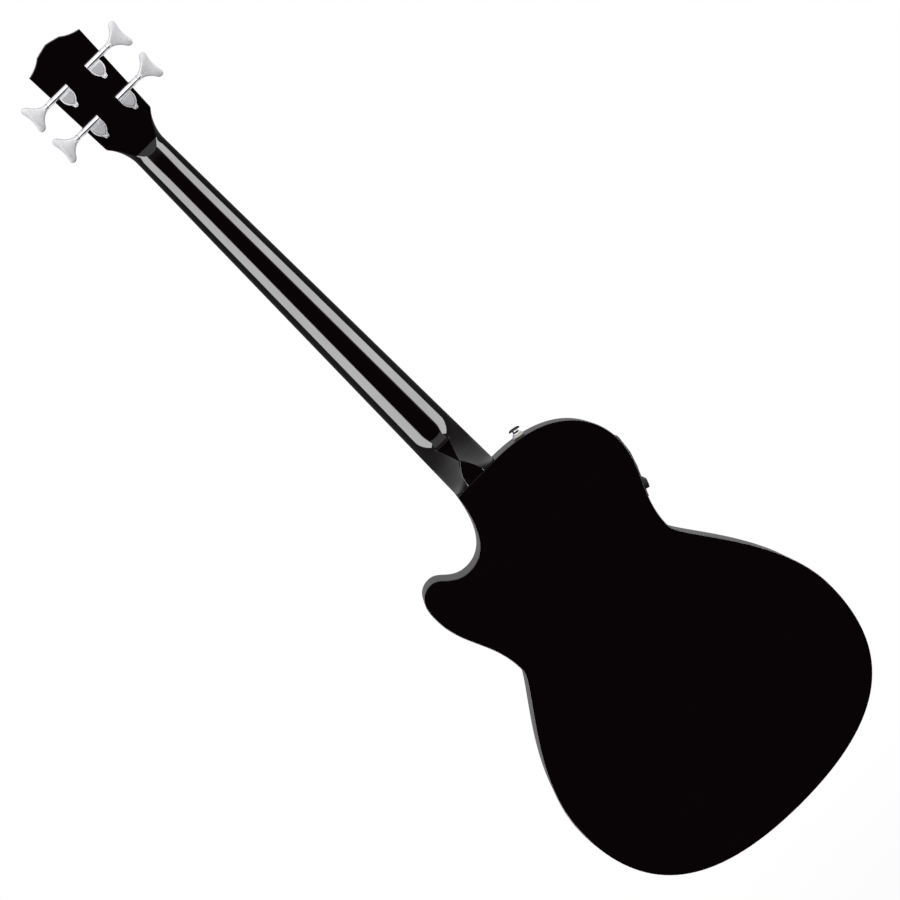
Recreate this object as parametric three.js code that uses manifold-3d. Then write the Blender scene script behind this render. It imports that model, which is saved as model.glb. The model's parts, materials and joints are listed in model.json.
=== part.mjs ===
// Acoustic bass guitar with a cutaway flat-top body, four geared tuners and a side preamp.
//
// Millimetres. +Z runs up the neck, the soundboard faces -Y and the back faces +Y.
// The bass side is -X and the treble side, with the cutaway, is +X.
// The origin is in the middle of the neck at the nut, on the plane of the soundboard's face.

import * as THREE from 'three';
import { mergeVertices } from 'three/addons/utils/BufferGeometryUtils.js';
import Module from 'manifold-3d';

const wasm = await Module();
wasm.setup();

// Clearances and cutters
const seatGap = 0.3;
const overrun = 6;
const weldTolerance = 0.0001;

// Smoothness of the round forms
const finestSides = 30;
const roundSides = 18;
const smallSides = 10;
const shoulderSteps = [8];
const boutSteps = [6, 8, 9];
const cutawaySteps = [5, 5, 5];
const guardSteps = [12, 8];
const bendSteps = 6;
const crownSteps = 4;
const sectionSteps = 12;

// Scale, frets and fingerboard
const scaleLength = 812.8;
const semitones = 12;
const jointFret = 18;
const fretCount = 22;
const nutWidth = 42.9;
const neckWidthAtJoint = 60.5;
const boardThickness = 6.5;
const boardCrown = 0.9;
const boardOverhang = 8;
const fretWidth = 2.4;
const fretHeight = 1.1;
const fretInset = 0.4;

// Nut and strings
const nutThickness = 6;
const nutShoulder = 0.9;
const stringDiameters = [2.67, 2.16, 1.65, 1.14];
const nutStringSpread = 34.8;
const bridgeStringSpread = 57;
const nutStringLift = 0.7;
const stringTurns = 2.2;
const windingGap = 0.5;
const loopSteps = 24;
const stringSides = 6;
const ballDiameter = 4.4;
const ballLength = 4;

// Neck, heel and truss rod
const neckDepthAtNut = 15.5;
const neckDepthAtHeel = 18.5;
const neckSideFlat = 2.2;
const heelReach = 62;
const heelCapLength = 26;
const heelCapWidth = 25;
const heelCapThickness = 2.6;
const heelSweep = 2.6;
const heelReachSweep = 3.2;
const trussRodWidth = 6;
const trussRodDepth = 8;
const trussRodLength = 430;
const trussRodStart = 20;

// Headstock
const headTilt = 12;
const headThickness = 14.5;
const headLength = 166.5;
const headTopWidth = 80.2;
const headBaseWidth = 71.2;
const headCornerAlong = 33.7;
const headTopCornerAlong = 152.4;
const headScrollWidth = 35.4;
const headScrollAlong = 162.3;
const headFlareStart = 6;

// Body outline
const bodyLength = 521.1;
const jointLead = 1.4;
const upperBoutWidth = 291.3;
const waistWidth = 232.3;
const lowerBoutWidth = 398.5;
const cutawayDepth = 69.6;
const cutawayReach = 79.4;
const hornReach = 122.4;
const hornHeight = 20.2;
const upperBoutShare = 0.158;
const waistShare = 0.3668;
const lowerBoutShare = 0.7072;

// Body box
const depthAtNeck = 92;
const depthAtTail = 106;
const backArch = 4;
const archSteps = 8;
const topThickness = 3;
const backThickness = 2.8;
const sideThickness = 2.2;
const bindingWidth = 2.2;
const bindingHeight = 5;
const liningWidth = 7;
const liningHeight = 13;
const neckBlockWidth = 84;
const neckBlockLength = 52;
const tailBlockWidth = 84;
const tailBlockLength = 20;

// Soundhole, rosette and pickguard
const soundholeRadius = 50;
const rosetteInner = 54;
const rosetteWidth = 8;
const rosetteDepth = 1.2;
const pickguardThickness = 1.2;
const pickguardMargin = 2;
const pickguardWidth = 62;
const pickguardLength = 118;

// Braces
const braceWidth = 8;
const braceHeight = 14;
const braceAngle = 45;
const crossingLift = 70.8;
const toneBarAngle = 62;
const toneBarDrop = 75.2;
const upperBracePlace = 66;
const bridgePlateThickness = 2.5;
const bridgePlateLength = 44;
const bridgePlateWidth = 196;
const backStripWidth = 18;
const backBraceHeight = 11;
const backBraceShares = [0.2, 0.4, 0.62, 0.82];

// Bridge, saddle and pins
const bridgeWidth = 162;
const bridgeLength = 36;
const bridgeThickness = 8;
const bridgeWingThickness = 3.6;
const bridgeFront = 10;
const saddleWidth = 70;
const saddleThickness = 2.8;
const saddleHeight = 12;
const saddleSlotDepth = 5;
const pickupThickness = 1;
const pinSetback = 17;
const pinHeadDiameter = 8;
const pinHeadHeight = 3.4;
const pinDiameter = 5.2;
const pinTipDiameter = 4.4;
const pinLength = 24;

// Strap button and end jack
const buttonPlace = 68;
const buttonFlangeDiameter = 14.5;
const buttonWaistDiameter = 7;
const buttonBaseDiameter = 11;
const buttonHeight = 7.6;
const buttonLip = 1.8;
const washerDiameter = 14.5;
const washerThickness = 3.4;
const screwHeadDiameter = 6.4;
const screwHeadHeight = 2;
const screwDiameter = 3.6;
const screwLength = 28;
const jackFlangeDiameter = 16;
const jackWaistDiameter = 11;
const jackHeight = 10;
const jackLip = 2;
const jackBore = 6.6;
const jackBarrelDiameter = 12;
const jackBarrelLength = 34;

// Preamp on the bass side
const preampDrop = 117;
const preampCentreDepth = 50;
const panelLength = 78;
const panelWidth = 60;
const panelThickness = 1.6;
const panelMargin = 4;
const housingDepth = 34;
const housingLength = 68;
const housingWall = 1.8;
const knobDiameter = 12.7;
const knobHeight = 5;
const knobShaftDiameter = 6;
const knobPitch = 17;
const knobAlong = 25;
const knobShaftLength = 13;
const pushButtonDiameter = 6;
const pushButtonProud = 1.6;
const pushButtonAlong = 8;
const pushButtonLength = 10;
const doorLength = 21;
const doorWidth = 52;
const doorPlace = 33;
const batteryDepth = 26.5;
const batteryWidth = 48.5;
const batteryLength = 17.5;

// Tuners, in the headstock's own frame
const tunerAlong = [68, 117.2];
const postPlace = 23.4;
const gearOffset = 11;
const wormTubeDiameter = 8;
const wormTubeEndDiameter = 6.8;
const wormTubeInner = 14.6;
const wormTubeOuter = 47;
const wormShaftDiameter = 4.6;
const wormDiameter = 5.6;
const wormLength = 14;
const wormClearance = 0.4;
const wormLift = 5.4;
const coverHalfWidth = 8.8;
const coverHeight = 8.2;
const coverDrop = 14;
const coverEarDrop = 24;
const coverEarWidth = 6;
const coverWall = 1.2;
const wheelThickness = 4.5;
const postDiameter = 10;
const postWaistDiameter = 8;
const postTopDiameter = 10.4;
const postHeight = 21;
const postFoot = 3.6;
const postTopHeight = 4;
const postSlotWidth = 2.8;
const postSlotDepth = 6;
const bushingDiameter = 15.5;
const bushingHeight = 2.4;
const bushingSleeveDiameter = 12.4;
const bushingSleeveLength = 11;
const paddleStart = 47.8;
const paddleLength = 26.4;
const paddleHalfWidth = 17.8;
const paddleNeckHalfWidth = 3.3;
const paddleThickness = 4.2;

// Sizes worked out from the driving ones
const fretPlace = (fret) => scaleLength * (1 - 2 ** (-fret / semitones));
const jointPlace = fretPlace(jointFret);
const bodyTop = jointLead - jointPlace;
const bodyTail = bodyTop - bodyLength;
const boardEnd = -(fretPlace(fretCount) + boardOverhang);
const boardFace = -(seatGap + boardThickness);
const fretTop = boardFace - fretHeight;
const headStart = nutThickness + 2 * seatGap;
const saddleTop = -saddleHeight;
const soundholeCentre = boardEnd - seatGap - rosetteInner - rosetteWidth;
const largestString = Math.max(...stringDiameters);
const neckWidthAt = (z) => nutWidth + (neckWidthAtJoint - nutWidth) * (-z / jointPlace);
const backAt = (x, z) => {
  const along = (bodyTop - z) / bodyLength;
  const across = x / (lowerBoutWidth / 2);
  return depthAtNeck + (depthAtTail - depthAtNeck) * along - backArch * across * across;
};

// Geometry helpers

function signedVolume(position, index) {
  const a = new THREE.Vector3();
  const b = new THREE.Vector3();
  const c = new THREE.Vector3();
  let volume = 0;
  for (let i = 0; i < index.length; i += 3) {
    a.fromBufferAttribute(position, index[i]);
    b.fromBufferAttribute(position, index[i + 1]);
    c.fromBufferAttribute(position, index[i + 2]);
    volume += a.dot(b.cross(c));
  }
  return volume;
}

// One closed skin: shared corners merged, empty triangles dropped, faces pointing out.
function closedForm(geometry) {
  const bare = geometry.clone();
  bare.deleteAttribute('normal');
  bare.deleteAttribute('uv');
  const merged = mergeVertices(bare, weldTolerance);
  const index = merged.index.array;
  const kept = [];
  for (let i = 0; i < index.length; i += 3) {
    const [a, b, c] = [index[i], index[i + 1], index[i + 2]];
    if (a !== b && b !== c && c !== a) {
      kept.push(a, b, c);
    }
  }
  if (signedVolume(merged.attributes.position, kept) < 0) {
    for (let i = 0; i < kept.length; i += 3) {
      [kept[i], kept[i + 1]] = [kept[i + 1], kept[i]];
    }
  }
  merged.setIndex(kept);
  return merged;
}

function solid(geometry) {
  const form = closedForm(geometry);
  return new wasm.Manifold(new wasm.Mesh({
    numProp: 3,
    vertProperties: Float32Array.from(form.attributes.position.array),
    triVerts: Uint32Array.from(form.index.array),
  }));
}

function geometryOf(form) {
  const mesh = form.getMesh();
  const geometry = new THREE.BufferGeometry();
  geometry.setAttribute('position', new THREE.BufferAttribute(mesh.vertProperties, 3));
  geometry.setIndex(new THREE.BufferAttribute(mesh.triVerts, 1));
  return geometry;
}

const joined = (forms) => forms.reduce((whole, form) => whole.add(form));
const cutBy = (form, cutters) => cutters.reduce((rest, cutter) => rest.subtract(cutter), form);

// A plan in X and Z, given depth along Y.
function prism(plan, yLow, yHigh) {
  const shape = new THREE.Shape(plan);
  const geometry = new THREE.ExtrudeGeometry(shape, { depth: yHigh - yLow, bevelEnabled: false });
  geometry.rotateX(Math.PI / 2);
  geometry.translate(0, yHigh, 0);
  return solid(geometry);
}

// A profile in X and Y, given length along Z.
function bar(profile, zLow, zHigh) {
  const shape = new THREE.Shape(profile);
  const geometry = new THREE.ExtrudeGeometry(shape, { depth: zHigh - zLow, bevelEnabled: false });
  geometry.translate(0, 0, zLow);
  return solid(geometry);
}

function block(xLow, xHigh, yLow, yHigh, zLow, zHigh) {
  const geometry = new THREE.BoxGeometry(xHigh - xLow, yHigh - yLow, zHigh - zLow);
  geometry.translate((xLow + xHigh) / 2, (yLow + yHigh) / 2, (zLow + zHigh) / 2);
  return solid(geometry);
}

// A round bar between two points.
function rod(radius, from, to, sides) {
  const reach = to.clone().sub(from);
  const geometry = new THREE.CylinderGeometry(radius, radius, reach.length(), sides);
  const turn = new THREE.Quaternion().setFromUnitVectors(
    new THREE.Vector3(0, 1, 0), reach.clone().normalize());
  geometry.applyQuaternion(turn);
  const middle = from.clone().add(to).multiplyScalar(1 / 2);
  geometry.translate(middle.x, middle.y, middle.z);
  return solid(geometry);
}

const vertical = (radius, x, yLow, yHigh, z, sides) => rod(
  radius, new THREE.Vector3(x, yLow, z), new THREE.Vector3(x, yHigh, z), sides);

// A turned form: pairs of radius and height, about Y.
const turned = (pairs, sides) => new THREE.LatheGeometry(
  pairs.map(([radius, height]) => new THREE.Vector2(radius, height)), sides);

// A flat cap for one end of a loft, triangulated in its own plane.
function capTriangles(ring) {
  const normal = new THREE.Vector3();
  ring.forEach((corner, i) => {
    const next = ring[(i + 1) % ring.length];
    normal.x += (corner.y - next.y) * (corner.z + next.z);
    normal.y += (corner.z - next.z) * (corner.x + next.x);
    normal.z += (corner.x - next.x) * (corner.y + next.y);
  });
  const turn = new THREE.Quaternion().setFromUnitVectors(
    normal.normalize(), new THREE.Vector3(0, 0, 1));
  const flat = ring.map((corner) => {
    const laid = corner.clone().applyQuaternion(turn);
    return new THREE.Vector2(laid.x, laid.y);
  });
  return THREE.ShapeUtils.triangulateShape(flat, []);
}

// A skin through rings of equal length, closed at both ends.
function loft(rings) {
  const count = rings[0].length;
  const corners = [];
  rings.forEach((ring) => ring.forEach((corner) => corners.push(corner.x, corner.y, corner.z)));
  const index = [];
  for (let ring = 0; ring < rings.length - 1; ring += 1) {
    for (let i = 0; i < count; i += 1) {
      const next = (i + 1) % count;
      const [a, b] = [ring * count + i, ring * count + next];
      const [c, d] = [a + count, b + count];
      index.push(a, b, d, a, d, c);
    }
  }
  const last = (rings.length - 1) * count;
  capTriangles(rings[0]).forEach(([a, b, c]) => index.push(a, c, b));
  capTriangles(rings[rings.length - 1]).forEach(([a, b, c]) => {
    index.push(last + a, last + b, last + c);
  });
  const geometry = new THREE.BufferGeometry();
  geometry.setAttribute('position', new THREE.Float32BufferAttribute(corners, 3));
  geometry.setIndex(index);
  return geometry;
}

// A tube through points, with a radius at each; its section never twists.
function tube(points, radii, sides) {
  const tangents = points.map((point, i) => {
    const before = points[Math.max(i - 1, 0)];
    const after = points[Math.min(i + 1, points.length - 1)];
    return after.clone().sub(before).normalize();
  });
  let side = new THREE.Vector3(1, 0, 0);
  const rings = points.map((point, i) => {
    side = side.clone().addScaledVector(tangents[i], -side.dot(tangents[i])).normalize();
    const other = tangents[i].clone().cross(side);
    const ring = [];
    for (let k = 0; k < sides; k += 1) {
      const angle = (k / sides) * 2 * Math.PI;
      ring.push(point.clone()
        .addScaledVector(side, radii[i] * Math.cos(angle))
        .addScaledVector(other, radii[i] * Math.sin(angle)));
    }
    return ring;
  });
  return loft(rings);
}

// Least gap between stretches of a tube that lie at least half a turn apart.
function leastSelfGap(points, radius, skip) {
  let least = Infinity;
  for (let i = 0; i < points.length; i += 1) {
    for (let k = i + skip; k < points.length; k += 1) {
      least = Math.min(least, points[i].distanceTo(points[k]));
    }
  }
  return least - 2 * radius;
}

// A plan drawn in by a distance, with mitred corners; the plan runs anticlockwise.
function drawnIn(plan, distance) {
  const count = plan.length;
  return plan.map((corner, i) => {
    const before = corner.clone().sub(plan[(i + count - 1) % count]).normalize();
    const after = plan[(i + 1) % count].clone().sub(corner).normalize();
    const mitre = before.clone().add(after).normalize();
    const inward = new THREE.Vector2(-mitre.y, mitre.x);
    const lean = inward.dot(new THREE.Vector2(-before.y, before.x));
    return corner.clone().addScaledVector(inward, distance / lean);
  });
}

const at = (x, z) => new THREE.Vector2(x, z);
const between = (from, to, share) => from + (to - from) * share;
const bent = (a, b, c, d) => new THREE.CubicBezierCurve(a, b, c, d);

// Body outline

const upperBoutZ = bodyTop - bodyLength * upperBoutShare;
const waistZ = bodyTop - bodyLength * waistShare;
const lowerBoutZ = bodyTop - bodyLength * lowerBoutShare;
const jointHalfWidth = neckWidthAt(bodyTop) / 2;
const valleyZ = bodyTop - cutawayDepth;
const hornZ = valleyZ + hornHeight;

// How far each curve's handles reach, as shares of the way to the next point.
const shoulderShares = [0.731, 0.495];
const waistwardShares = [0.389, 0.433];
const boutwardShares = [0.113, 0.455];
const tailwardShares = [0.602, 0.76];
const cutawayShares = [0.151, 0.795, 0.412];
const valleyShares = [0.577, 0.372];
const hornShares = [1.05, 0.254];

function shoulderCurve() {
  const start = jointHalfWidth;
  const bout = upperBoutWidth / 2;
  return bent(
    at(-start, bodyTop),
    at(-between(start, bout, shoulderShares[0]), bodyTop),
    at(-bout, between(upperBoutZ, bodyTop, shoulderShares[1])),
    at(-bout, upperBoutZ));
}

function boutCurves(side) {
  const upper = side * upperBoutWidth / 2;
  const waist = side * waistWidth / 2;
  const lower = side * lowerBoutWidth / 2;
  return [
    bent(
      at(upper, upperBoutZ),
      at(upper, between(upperBoutZ, waistZ, waistwardShares[0])),
      at(waist, between(waistZ, upperBoutZ, waistwardShares[1])),
      at(waist, waistZ)),
    bent(
      at(waist, waistZ),
      at(waist, between(waistZ, lowerBoutZ, boutwardShares[0])),
      at(lower, between(lowerBoutZ, waistZ, boutwardShares[1])),
      at(lower, lowerBoutZ)),
    bent(
      at(lower, lowerBoutZ),
      at(lower, between(lowerBoutZ, bodyTail, tailwardShares[0])),
      at(lower * tailwardShares[1], bodyTail),
      at(0, bodyTail)),
  ];
}

function cutawayCurves() {
  const start = jointHalfWidth;
  const bout = upperBoutWidth / 2;
  return [
    bent(
      at(start, bodyTop),
      at(between(start, cutawayReach, cutawayShares[0]),
        between(bodyTop, valleyZ, cutawayShares[1])),
      at(between(cutawayReach, start, cutawayShares[2]), valleyZ),
      at(cutawayReach, valleyZ)),
    bent(
      at(cutawayReach, valleyZ),
      at(between(cutawayReach, hornReach, valleyShares[0]), valleyZ),
      at(between(hornReach, cutawayReach, valleyShares[1]), hornZ),
      at(hornReach, hornZ)),
    bent(
      at(hornReach, hornZ),
      at(between(hornReach, bout, hornShares[0]), hornZ),
      at(bout, between(upperBoutZ, hornZ, hornShares[1])),
      at(bout, upperBoutZ)),
  ];
}

function pointsAlong(curves, steps) {
  const points = [curves[0].getPoint(0)];
  curves.forEach((curve, i) => points.push(...curve.getPoints(steps[i]).slice(1)));
  return points;
}

function bodyOutline() {
  const down = pointsAlong([shoulderCurve(), ...boutCurves(-1)], [...shoulderSteps, ...boutSteps]);
  const up = pointsAlong([...cutawayCurves(), ...boutCurves(1)], [...cutawaySteps, ...boutSteps])
    .reverse();
  return [...down, ...up.slice(1)];
}

const outline = bodyOutline();
const bodyPlan = (inset, yLow, yHigh) => prism(drawnIn(outline, inset), yLow, yHigh);
const farBack = depthAtTail + overrun;

// A band that follows the outline, between two insets.
const bodyBand = (outer, inner, yLow, yHigh) => bodyPlan(outer, yLow, yHigh)
  .subtract(bodyPlan(inner, yLow - overrun, yHigh + overrun));

// What lies in front of the arched back, drawn forward by an offset.
function underBack(offset, yLow) {
  const half = lowerBoutWidth / 2 + overrun;
  const ringAt = (z) => {
    const ring = [new THREE.Vector3(half, yLow, z), new THREE.Vector3(-half, yLow, z)];
    for (let i = 0; i <= archSteps; i += 1) {
      const x = between(-half, half, i / archSteps);
      ring.push(new THREE.Vector3(x, backAt(x, z) - offset, z));
    }
    return ring;
  };
  return solid(loft([ringAt(bodyTail - overrun), ringAt(bodyTop + overrun)]));
}

const backLayer = (near, far) => underBack(near, 0).subtract(underBack(far, -overrun));

// A place on the rim with the outward direction there.
function rimFrame(curve, share, depth) {
  const place = curve.getPoint(share);
  const along = curve.getTangent(share);
  const group = new THREE.Group();
  group.position.set(place.x, depth, place.y);
  group.rotation.y = Math.atan2(along.x, along.y);
  group.updateMatrixWorld();
  return group;
}

// Share of a curve up to which a condition on its points holds, found by halving.
function shareWhile(curve, holds) {
  const halvings = 40;
  let [low, high] = [0, 1];
  for (let i = 0; i < halvings; i += 1) {
    const middle = (low + high) / 2;
    if (holds(curve.getPoint(middle))) {
      low = middle;
    } else {
      high = middle;
    }
  }
  return low;
}

const placed = (geometry, group) => geometry.clone().applyMatrix4(group.matrixWorld);

// Scene

const guitar = new THREE.Group();

function addPiece(parent, name, form, colour, roughness, metalness) {
  const geometry = form instanceof THREE.BufferGeometry ? closedForm(form) : geometryOf(form);
  geometry.computeVertexNormals();
  const material = new THREE.MeshStandardMaterial({ color: colour, roughness, metalness });
  const mesh = new THREE.Mesh(geometry, material);
  mesh.name = name;
  parent.add(mesh);
  return mesh;
}

const glossBlack = [0x0b0909, 0.12, 0];
const rawSpruce = [0xd8bd8c, 0.7, 0];
const rawMahogany = [0x8a5a3c, 0.7, 0];
const darkWood = [0x33211a, 0.5, 0];
const blackPlastic = [0x101010, 0.35, 0];
const ivory = [0xe8e2d0, 0.4, 0];
const chrome = [0xd6d6d8, 0.12, 1];
const satinNickel = [0xc2c0be, 0.35, 1];
const bronze = [0xb5813e, 0.35, 1];
const steel = [0xb8bbbf, 0.3, 1];
const felt = [0xdcd5c8, 0.95, 0];

// Soundboard, back and sides

const plateInset = bindingWidth + seatGap;
const rimInset = sideThickness + seatGap;
const liningInset = rimInset + liningWidth + seatGap;
const cavityTop = topThickness + seatGap;
const backInside = backThickness + seatGap;

const pinPlaces = stringDiameters.map((diameter, i) => between(
  -bridgeStringSpread / 2, bridgeStringSpread / 2, i / (stringDiameters.length - 1)));
const pinZ = -(scaleLength + pinSetback);
const pinHoleRadius = pinDiameter / 2 + seatGap;
const stringSlotWidth = largestString + 2 * seatGap;
const stringDrop = pinZ + pinHoleRadius + largestString / 2 + seatGap;

// Pin holes with the string's way down in front of each pin.
function pinHoles(yLow, yHigh) {
  const slotEnd = stringDrop + largestString / 2 + seatGap;
  return pinPlaces.flatMap((x) => [
    vertical(pinHoleRadius, x, yLow, yHigh, pinZ, smallSides),
    block(x - stringSlotWidth / 2, x + stringSlotWidth / 2, yLow, yHigh, pinZ, slotEnd),
  ]);
}

function makeSoundboard() {
  const plate = bodyPlan(plateInset, 0, topThickness);
  const hole = vertical(soundholeRadius, 0, -overrun, topThickness + overrun,
    soundholeCentre, finestSides);
  const channel = vertical(rosetteInner + rosetteWidth + seatGap, 0, -overrun,
    rosetteDepth + seatGap, soundholeCentre, finestSides)
    .subtract(vertical(rosetteInner - seatGap, 0, -2 * overrun, farBack,
      soundholeCentre, finestSides));
  const board = cutBy(plate, [hole, channel, ...pinHoles(-overrun, topThickness + overrun)]);
  addPiece(guitar, 'soundboard', board, ...glossBlack);
}

function makeBackPlate() {
  const plate = bodyPlan(plateInset, 0, farBack).intersect(backLayer(0, backThickness));
  addPiece(guitar, 'back_plate', plate, ...glossBlack);
}

function makeBindings() {
  const front = bodyBand(0, bindingWidth, 0, bindingHeight);
  addPiece(guitar, 'top_binding', front, ...blackPlastic);
  const rear = bodyBand(0, bindingWidth, 0, farBack)
    .intersect(backLayer(0, bindingHeight));
  addPiece(guitar, 'back_binding', rear, ...blackPlastic);
}

// Preamp frame: +X points out of the side, +Z towards the waist
const preampCurve = boutCurves(-1)[0];
const preampFrame = rimFrame(
  preampCurve, shareWhile(preampCurve, (place) => place.y > bodyTop - preampDrop), preampCentreDepth);

const inPreamp = (xLow, xHigh, yHalf, zLow, zHigh) => {
  const geometry = new THREE.BoxGeometry(xHigh - xLow, 2 * yHalf, zHigh - zLow);
  geometry.translate((xLow + xHigh) / 2, 0, (zLow + zHigh) / 2);
  return solid(placed(geometry, preampFrame));
};

// Strap button frame on the bass shoulder
const shoulder = shoulderCurve();
const strapFrame = rimFrame(
  shoulder, shareWhile(shoulder, (place) => place.x > -buttonPlace), depthAtNeck / 2);

function makeSides() {
  const yLow = bindingHeight + seatGap;
  const ring = bodyBand(0, sideThickness, 0, farBack)
    .intersect(backLayer(bindingHeight + seatGap, depthAtNeck - yLow)
      .add(underBack(bindingHeight + seatGap, yLow)));
  const rim = ring.subtract(block(-farBack * 2, farBack * 2, -overrun, yLow,
    bodyTail - overrun, bodyTop + overrun));
  const jackHole = rod(jackBarrelDiameter / 2 + seatGap,
    new THREE.Vector3(0, jackDepth, bodyTail - overrun),
    new THREE.Vector3(0, jackDepth, bodyTail + overrun), roundSides);
  const window = inPreamp(-farBack, farBack / 2, panelWidth / 2 - panelMargin,
    -panelLength / 2 + panelMargin, panelLength / 2 - panelMargin);
  const screwHole = solid(placed(turned([
    [0, -overrun], [screwDiameter / 2 + seatGap, -overrun],
    [screwDiameter / 2 + seatGap, overrun], [0, overrun],
  ], smallSides).rotateZ(-Math.PI / 2), strapFrame));
  const wide = lowerBoutWidth;
  const halfSpace = (xLow, xHigh) => block(xLow, xHigh, -overrun, farBack,
    bodyTail - overrun, bodyTop + overrun);
  const bass = cutBy(rim.intersect(halfSpace(-wide, -seatGap / 2)),
    [jackHole, window, screwHole]);
  const treble = cutBy(rim.intersect(halfSpace(seatGap / 2, wide)), [jackHole]);
  addPiece(guitar, 'bass_side', bass, ...glossBlack);
  addPiece(guitar, 'treble_side', treble, ...glossBlack);
}

const jackDepth = depthAtTail / 2;

function makeLinings() {
  const front = bodyBand(rimInset, rimInset + liningWidth, cavityTop, cavityTop + liningHeight);
  addPiece(guitar, 'top_lining', front, ...rawMahogany);
  const rear = bodyBand(rimInset, rimInset + liningWidth, 0, farBack)
    .intersect(backLayer(backInside, backInside + liningHeight));
  addPiece(guitar, 'back_lining', rear, ...rawMahogany);
}

// The room that the linings take, with clearance, for the blocks' notches.
function liningRoom() {
  const front = bodyBand(0, liningInset, -overrun, cavityTop + liningHeight + seatGap);
  const rear = bodyBand(0, liningInset, 0, farBack + overrun)
    .subtract(underBack(backInside + liningHeight + seatGap, -overrun));
  return front.add(rear);
}

function makeBlocks() {
  const inside = bodyPlan(rimInset, cavityTop, farBack).intersect(underBack(backInside, 0));
  const notches = liningRoom();
  const half = neckBlockWidth / 2;
  const screwRoom = solid(placed(turned([
    [0, -screwLength * 2], [screwDiameter / 2 + seatGap, -screwLength * 2],
    [screwDiameter / 2 + seatGap, overrun], [0, overrun],
  ], smallSides).rotateZ(-Math.PI / 2), strapFrame));
  const neckBlock = inside
    .intersect(block(-half, half, 0, farBack, bodyTop - neckBlockLength, bodyTop + overrun));
  addPiece(guitar, 'neck_block', cutBy(neckBlock, [notches, screwRoom]), ...rawMahogany);
  const barrel = rod(jackBarrelDiameter / 2 + seatGap,
    new THREE.Vector3(0, jackDepth, bodyTail - overrun),
    new THREE.Vector3(0, jackDepth, bodyTail + tailBlockLength + 2 * overrun), roundSides);
  const tailBlock = inside.intersect(block(-tailBlockWidth / 2, tailBlockWidth / 2, 0, farBack,
    bodyTail - overrun, bodyTail + tailBlockLength));
  addPiece(guitar, 'tail_block', cutBy(tailBlock, [notches, barrel]), ...rawMahogany);
}

// Braces

// A straight brace under the soundboard, turned about Y at a place on the centre line.
function topBrace(x, z, angle, halfLength, width, height) {
  const geometry = new THREE.BoxGeometry(width, height, 2 * halfLength);
  geometry.translate(0, cavityTop + height / 2, 0);
  geometry.rotateY(THREE.MathUtils.degToRad(angle));
  geometry.translate(x, 0, z);
  return solid(geometry);
}

function makeTopBraces() {
  const room = bodyPlan(liningInset, 0, farBack);
  const upperBraceZ = bodyTop - upperBracePlace;
  const upper = block(-lowerBoutWidth, lowerBoutWidth, cavityTop, cavityTop + braceHeight,
    upperBraceZ - braceWidth / 2, upperBraceZ + braceWidth / 2);
  addPiece(guitar, 'upper_brace', largestPart(upper.intersect(room)), ...rawSpruce);

  const plateTop = pinZ + bridgePlateLength / 2;
  const plateEnd = plateTop - bridgePlateLength;
  const crossing = plateTop + crossingLift;
  const legs = [-1, 1].map((side) => topBrace(
    0, crossing, side * braceAngle, bodyLength, braceWidth, braceHeight));
  const tone = topBrace(0, plateEnd - toneBarDrop, toneBarAngle,
    bodyLength, braceWidth, braceHeight * toneBarHeightShare);
  const legLimit = crossing - bodyLength;
  const betweenLegs = prism([
    at(0, crossing), at(-bodyLength, legLimit), at(bodyLength, legLimit),
  ], 0, farBack);
  const below = block(-lowerBoutWidth, lowerBoutWidth, 0, farBack, bodyTail,
    upperBraceZ - braceWidth / 2 - seatGap);
  const cross = joined([...legs, tone.intersect(betweenLegs)]).intersect(room).intersect(below);
  addPiece(guitar, 'x_brace', largestPart(cross), ...rawSpruce);

  const legSpread = braceWidth / 2 / Math.cos(THREE.MathUtils.degToRad(braceAngle)) + seatGap;
  const slope = Math.tan(THREE.MathUtils.degToRad(braceAngle));
  const halfAt = (z) => Math.min((crossing - z) * slope - legSpread, bridgePlateWidth / 2);
  const plate = prism([
    at(-halfAt(plateTop), plateTop), at(-halfAt(plateEnd), plateEnd),
    at(halfAt(plateEnd), plateEnd), at(halfAt(plateTop), plateTop),
  ], cavityTop, cavityTop + bridgePlateThickness);
  addPiece(guitar, 'bridge_plate', cutBy(plate, pinHoles(0, farBack)), ...rawMahogany);
}

const toneBarHeightShare = 0.7;

// The largest of the separate bodies that a cut leaves.
function largestPart(form) {
  return form.decompose().reduce((best, part) => (part.volume() > best.volume() ? part : best));
}

function makeBackBraces() {
  const strip = block(-backStripWidth / 2, backStripWidth / 2, 0, farBack,
    bodyTail + tailBlockLength + seatGap, bodyTop - neckBlockLength - seatGap)
    .intersect(backLayer(backInside, backInside + backThickness));
  const bars = backBraceShares.map((share) => {
    const z = between(bodyTop, bodyTail, share);
    return block(-lowerBoutWidth, lowerBoutWidth, 0, farBack, z - braceWidth / 2,
      z + braceWidth / 2).intersect(backLayer(backInside, backInside + backBraceHeight));
  });
  const all = joined([strip, ...bars]).intersect(bodyPlan(liningInset, 0, farBack));
  addPiece(guitar, 'back_bracing', largestPart(all), ...rawSpruce);
}

// Rosette and pickguard

function makeRosette() {
  const ring = vertical(rosetteInner + rosetteWidth, 0, 0, rosetteDepth,
    soundholeCentre, finestSides)
    .subtract(vertical(rosetteInner, 0, -overrun, overrun, soundholeCentre, finestSides));
  addPiece(guitar, 'rosette', ring, ...ivory);
}

const pickguardBellyShares = [0.1, 0.9, 1.15, 0.62];

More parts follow.
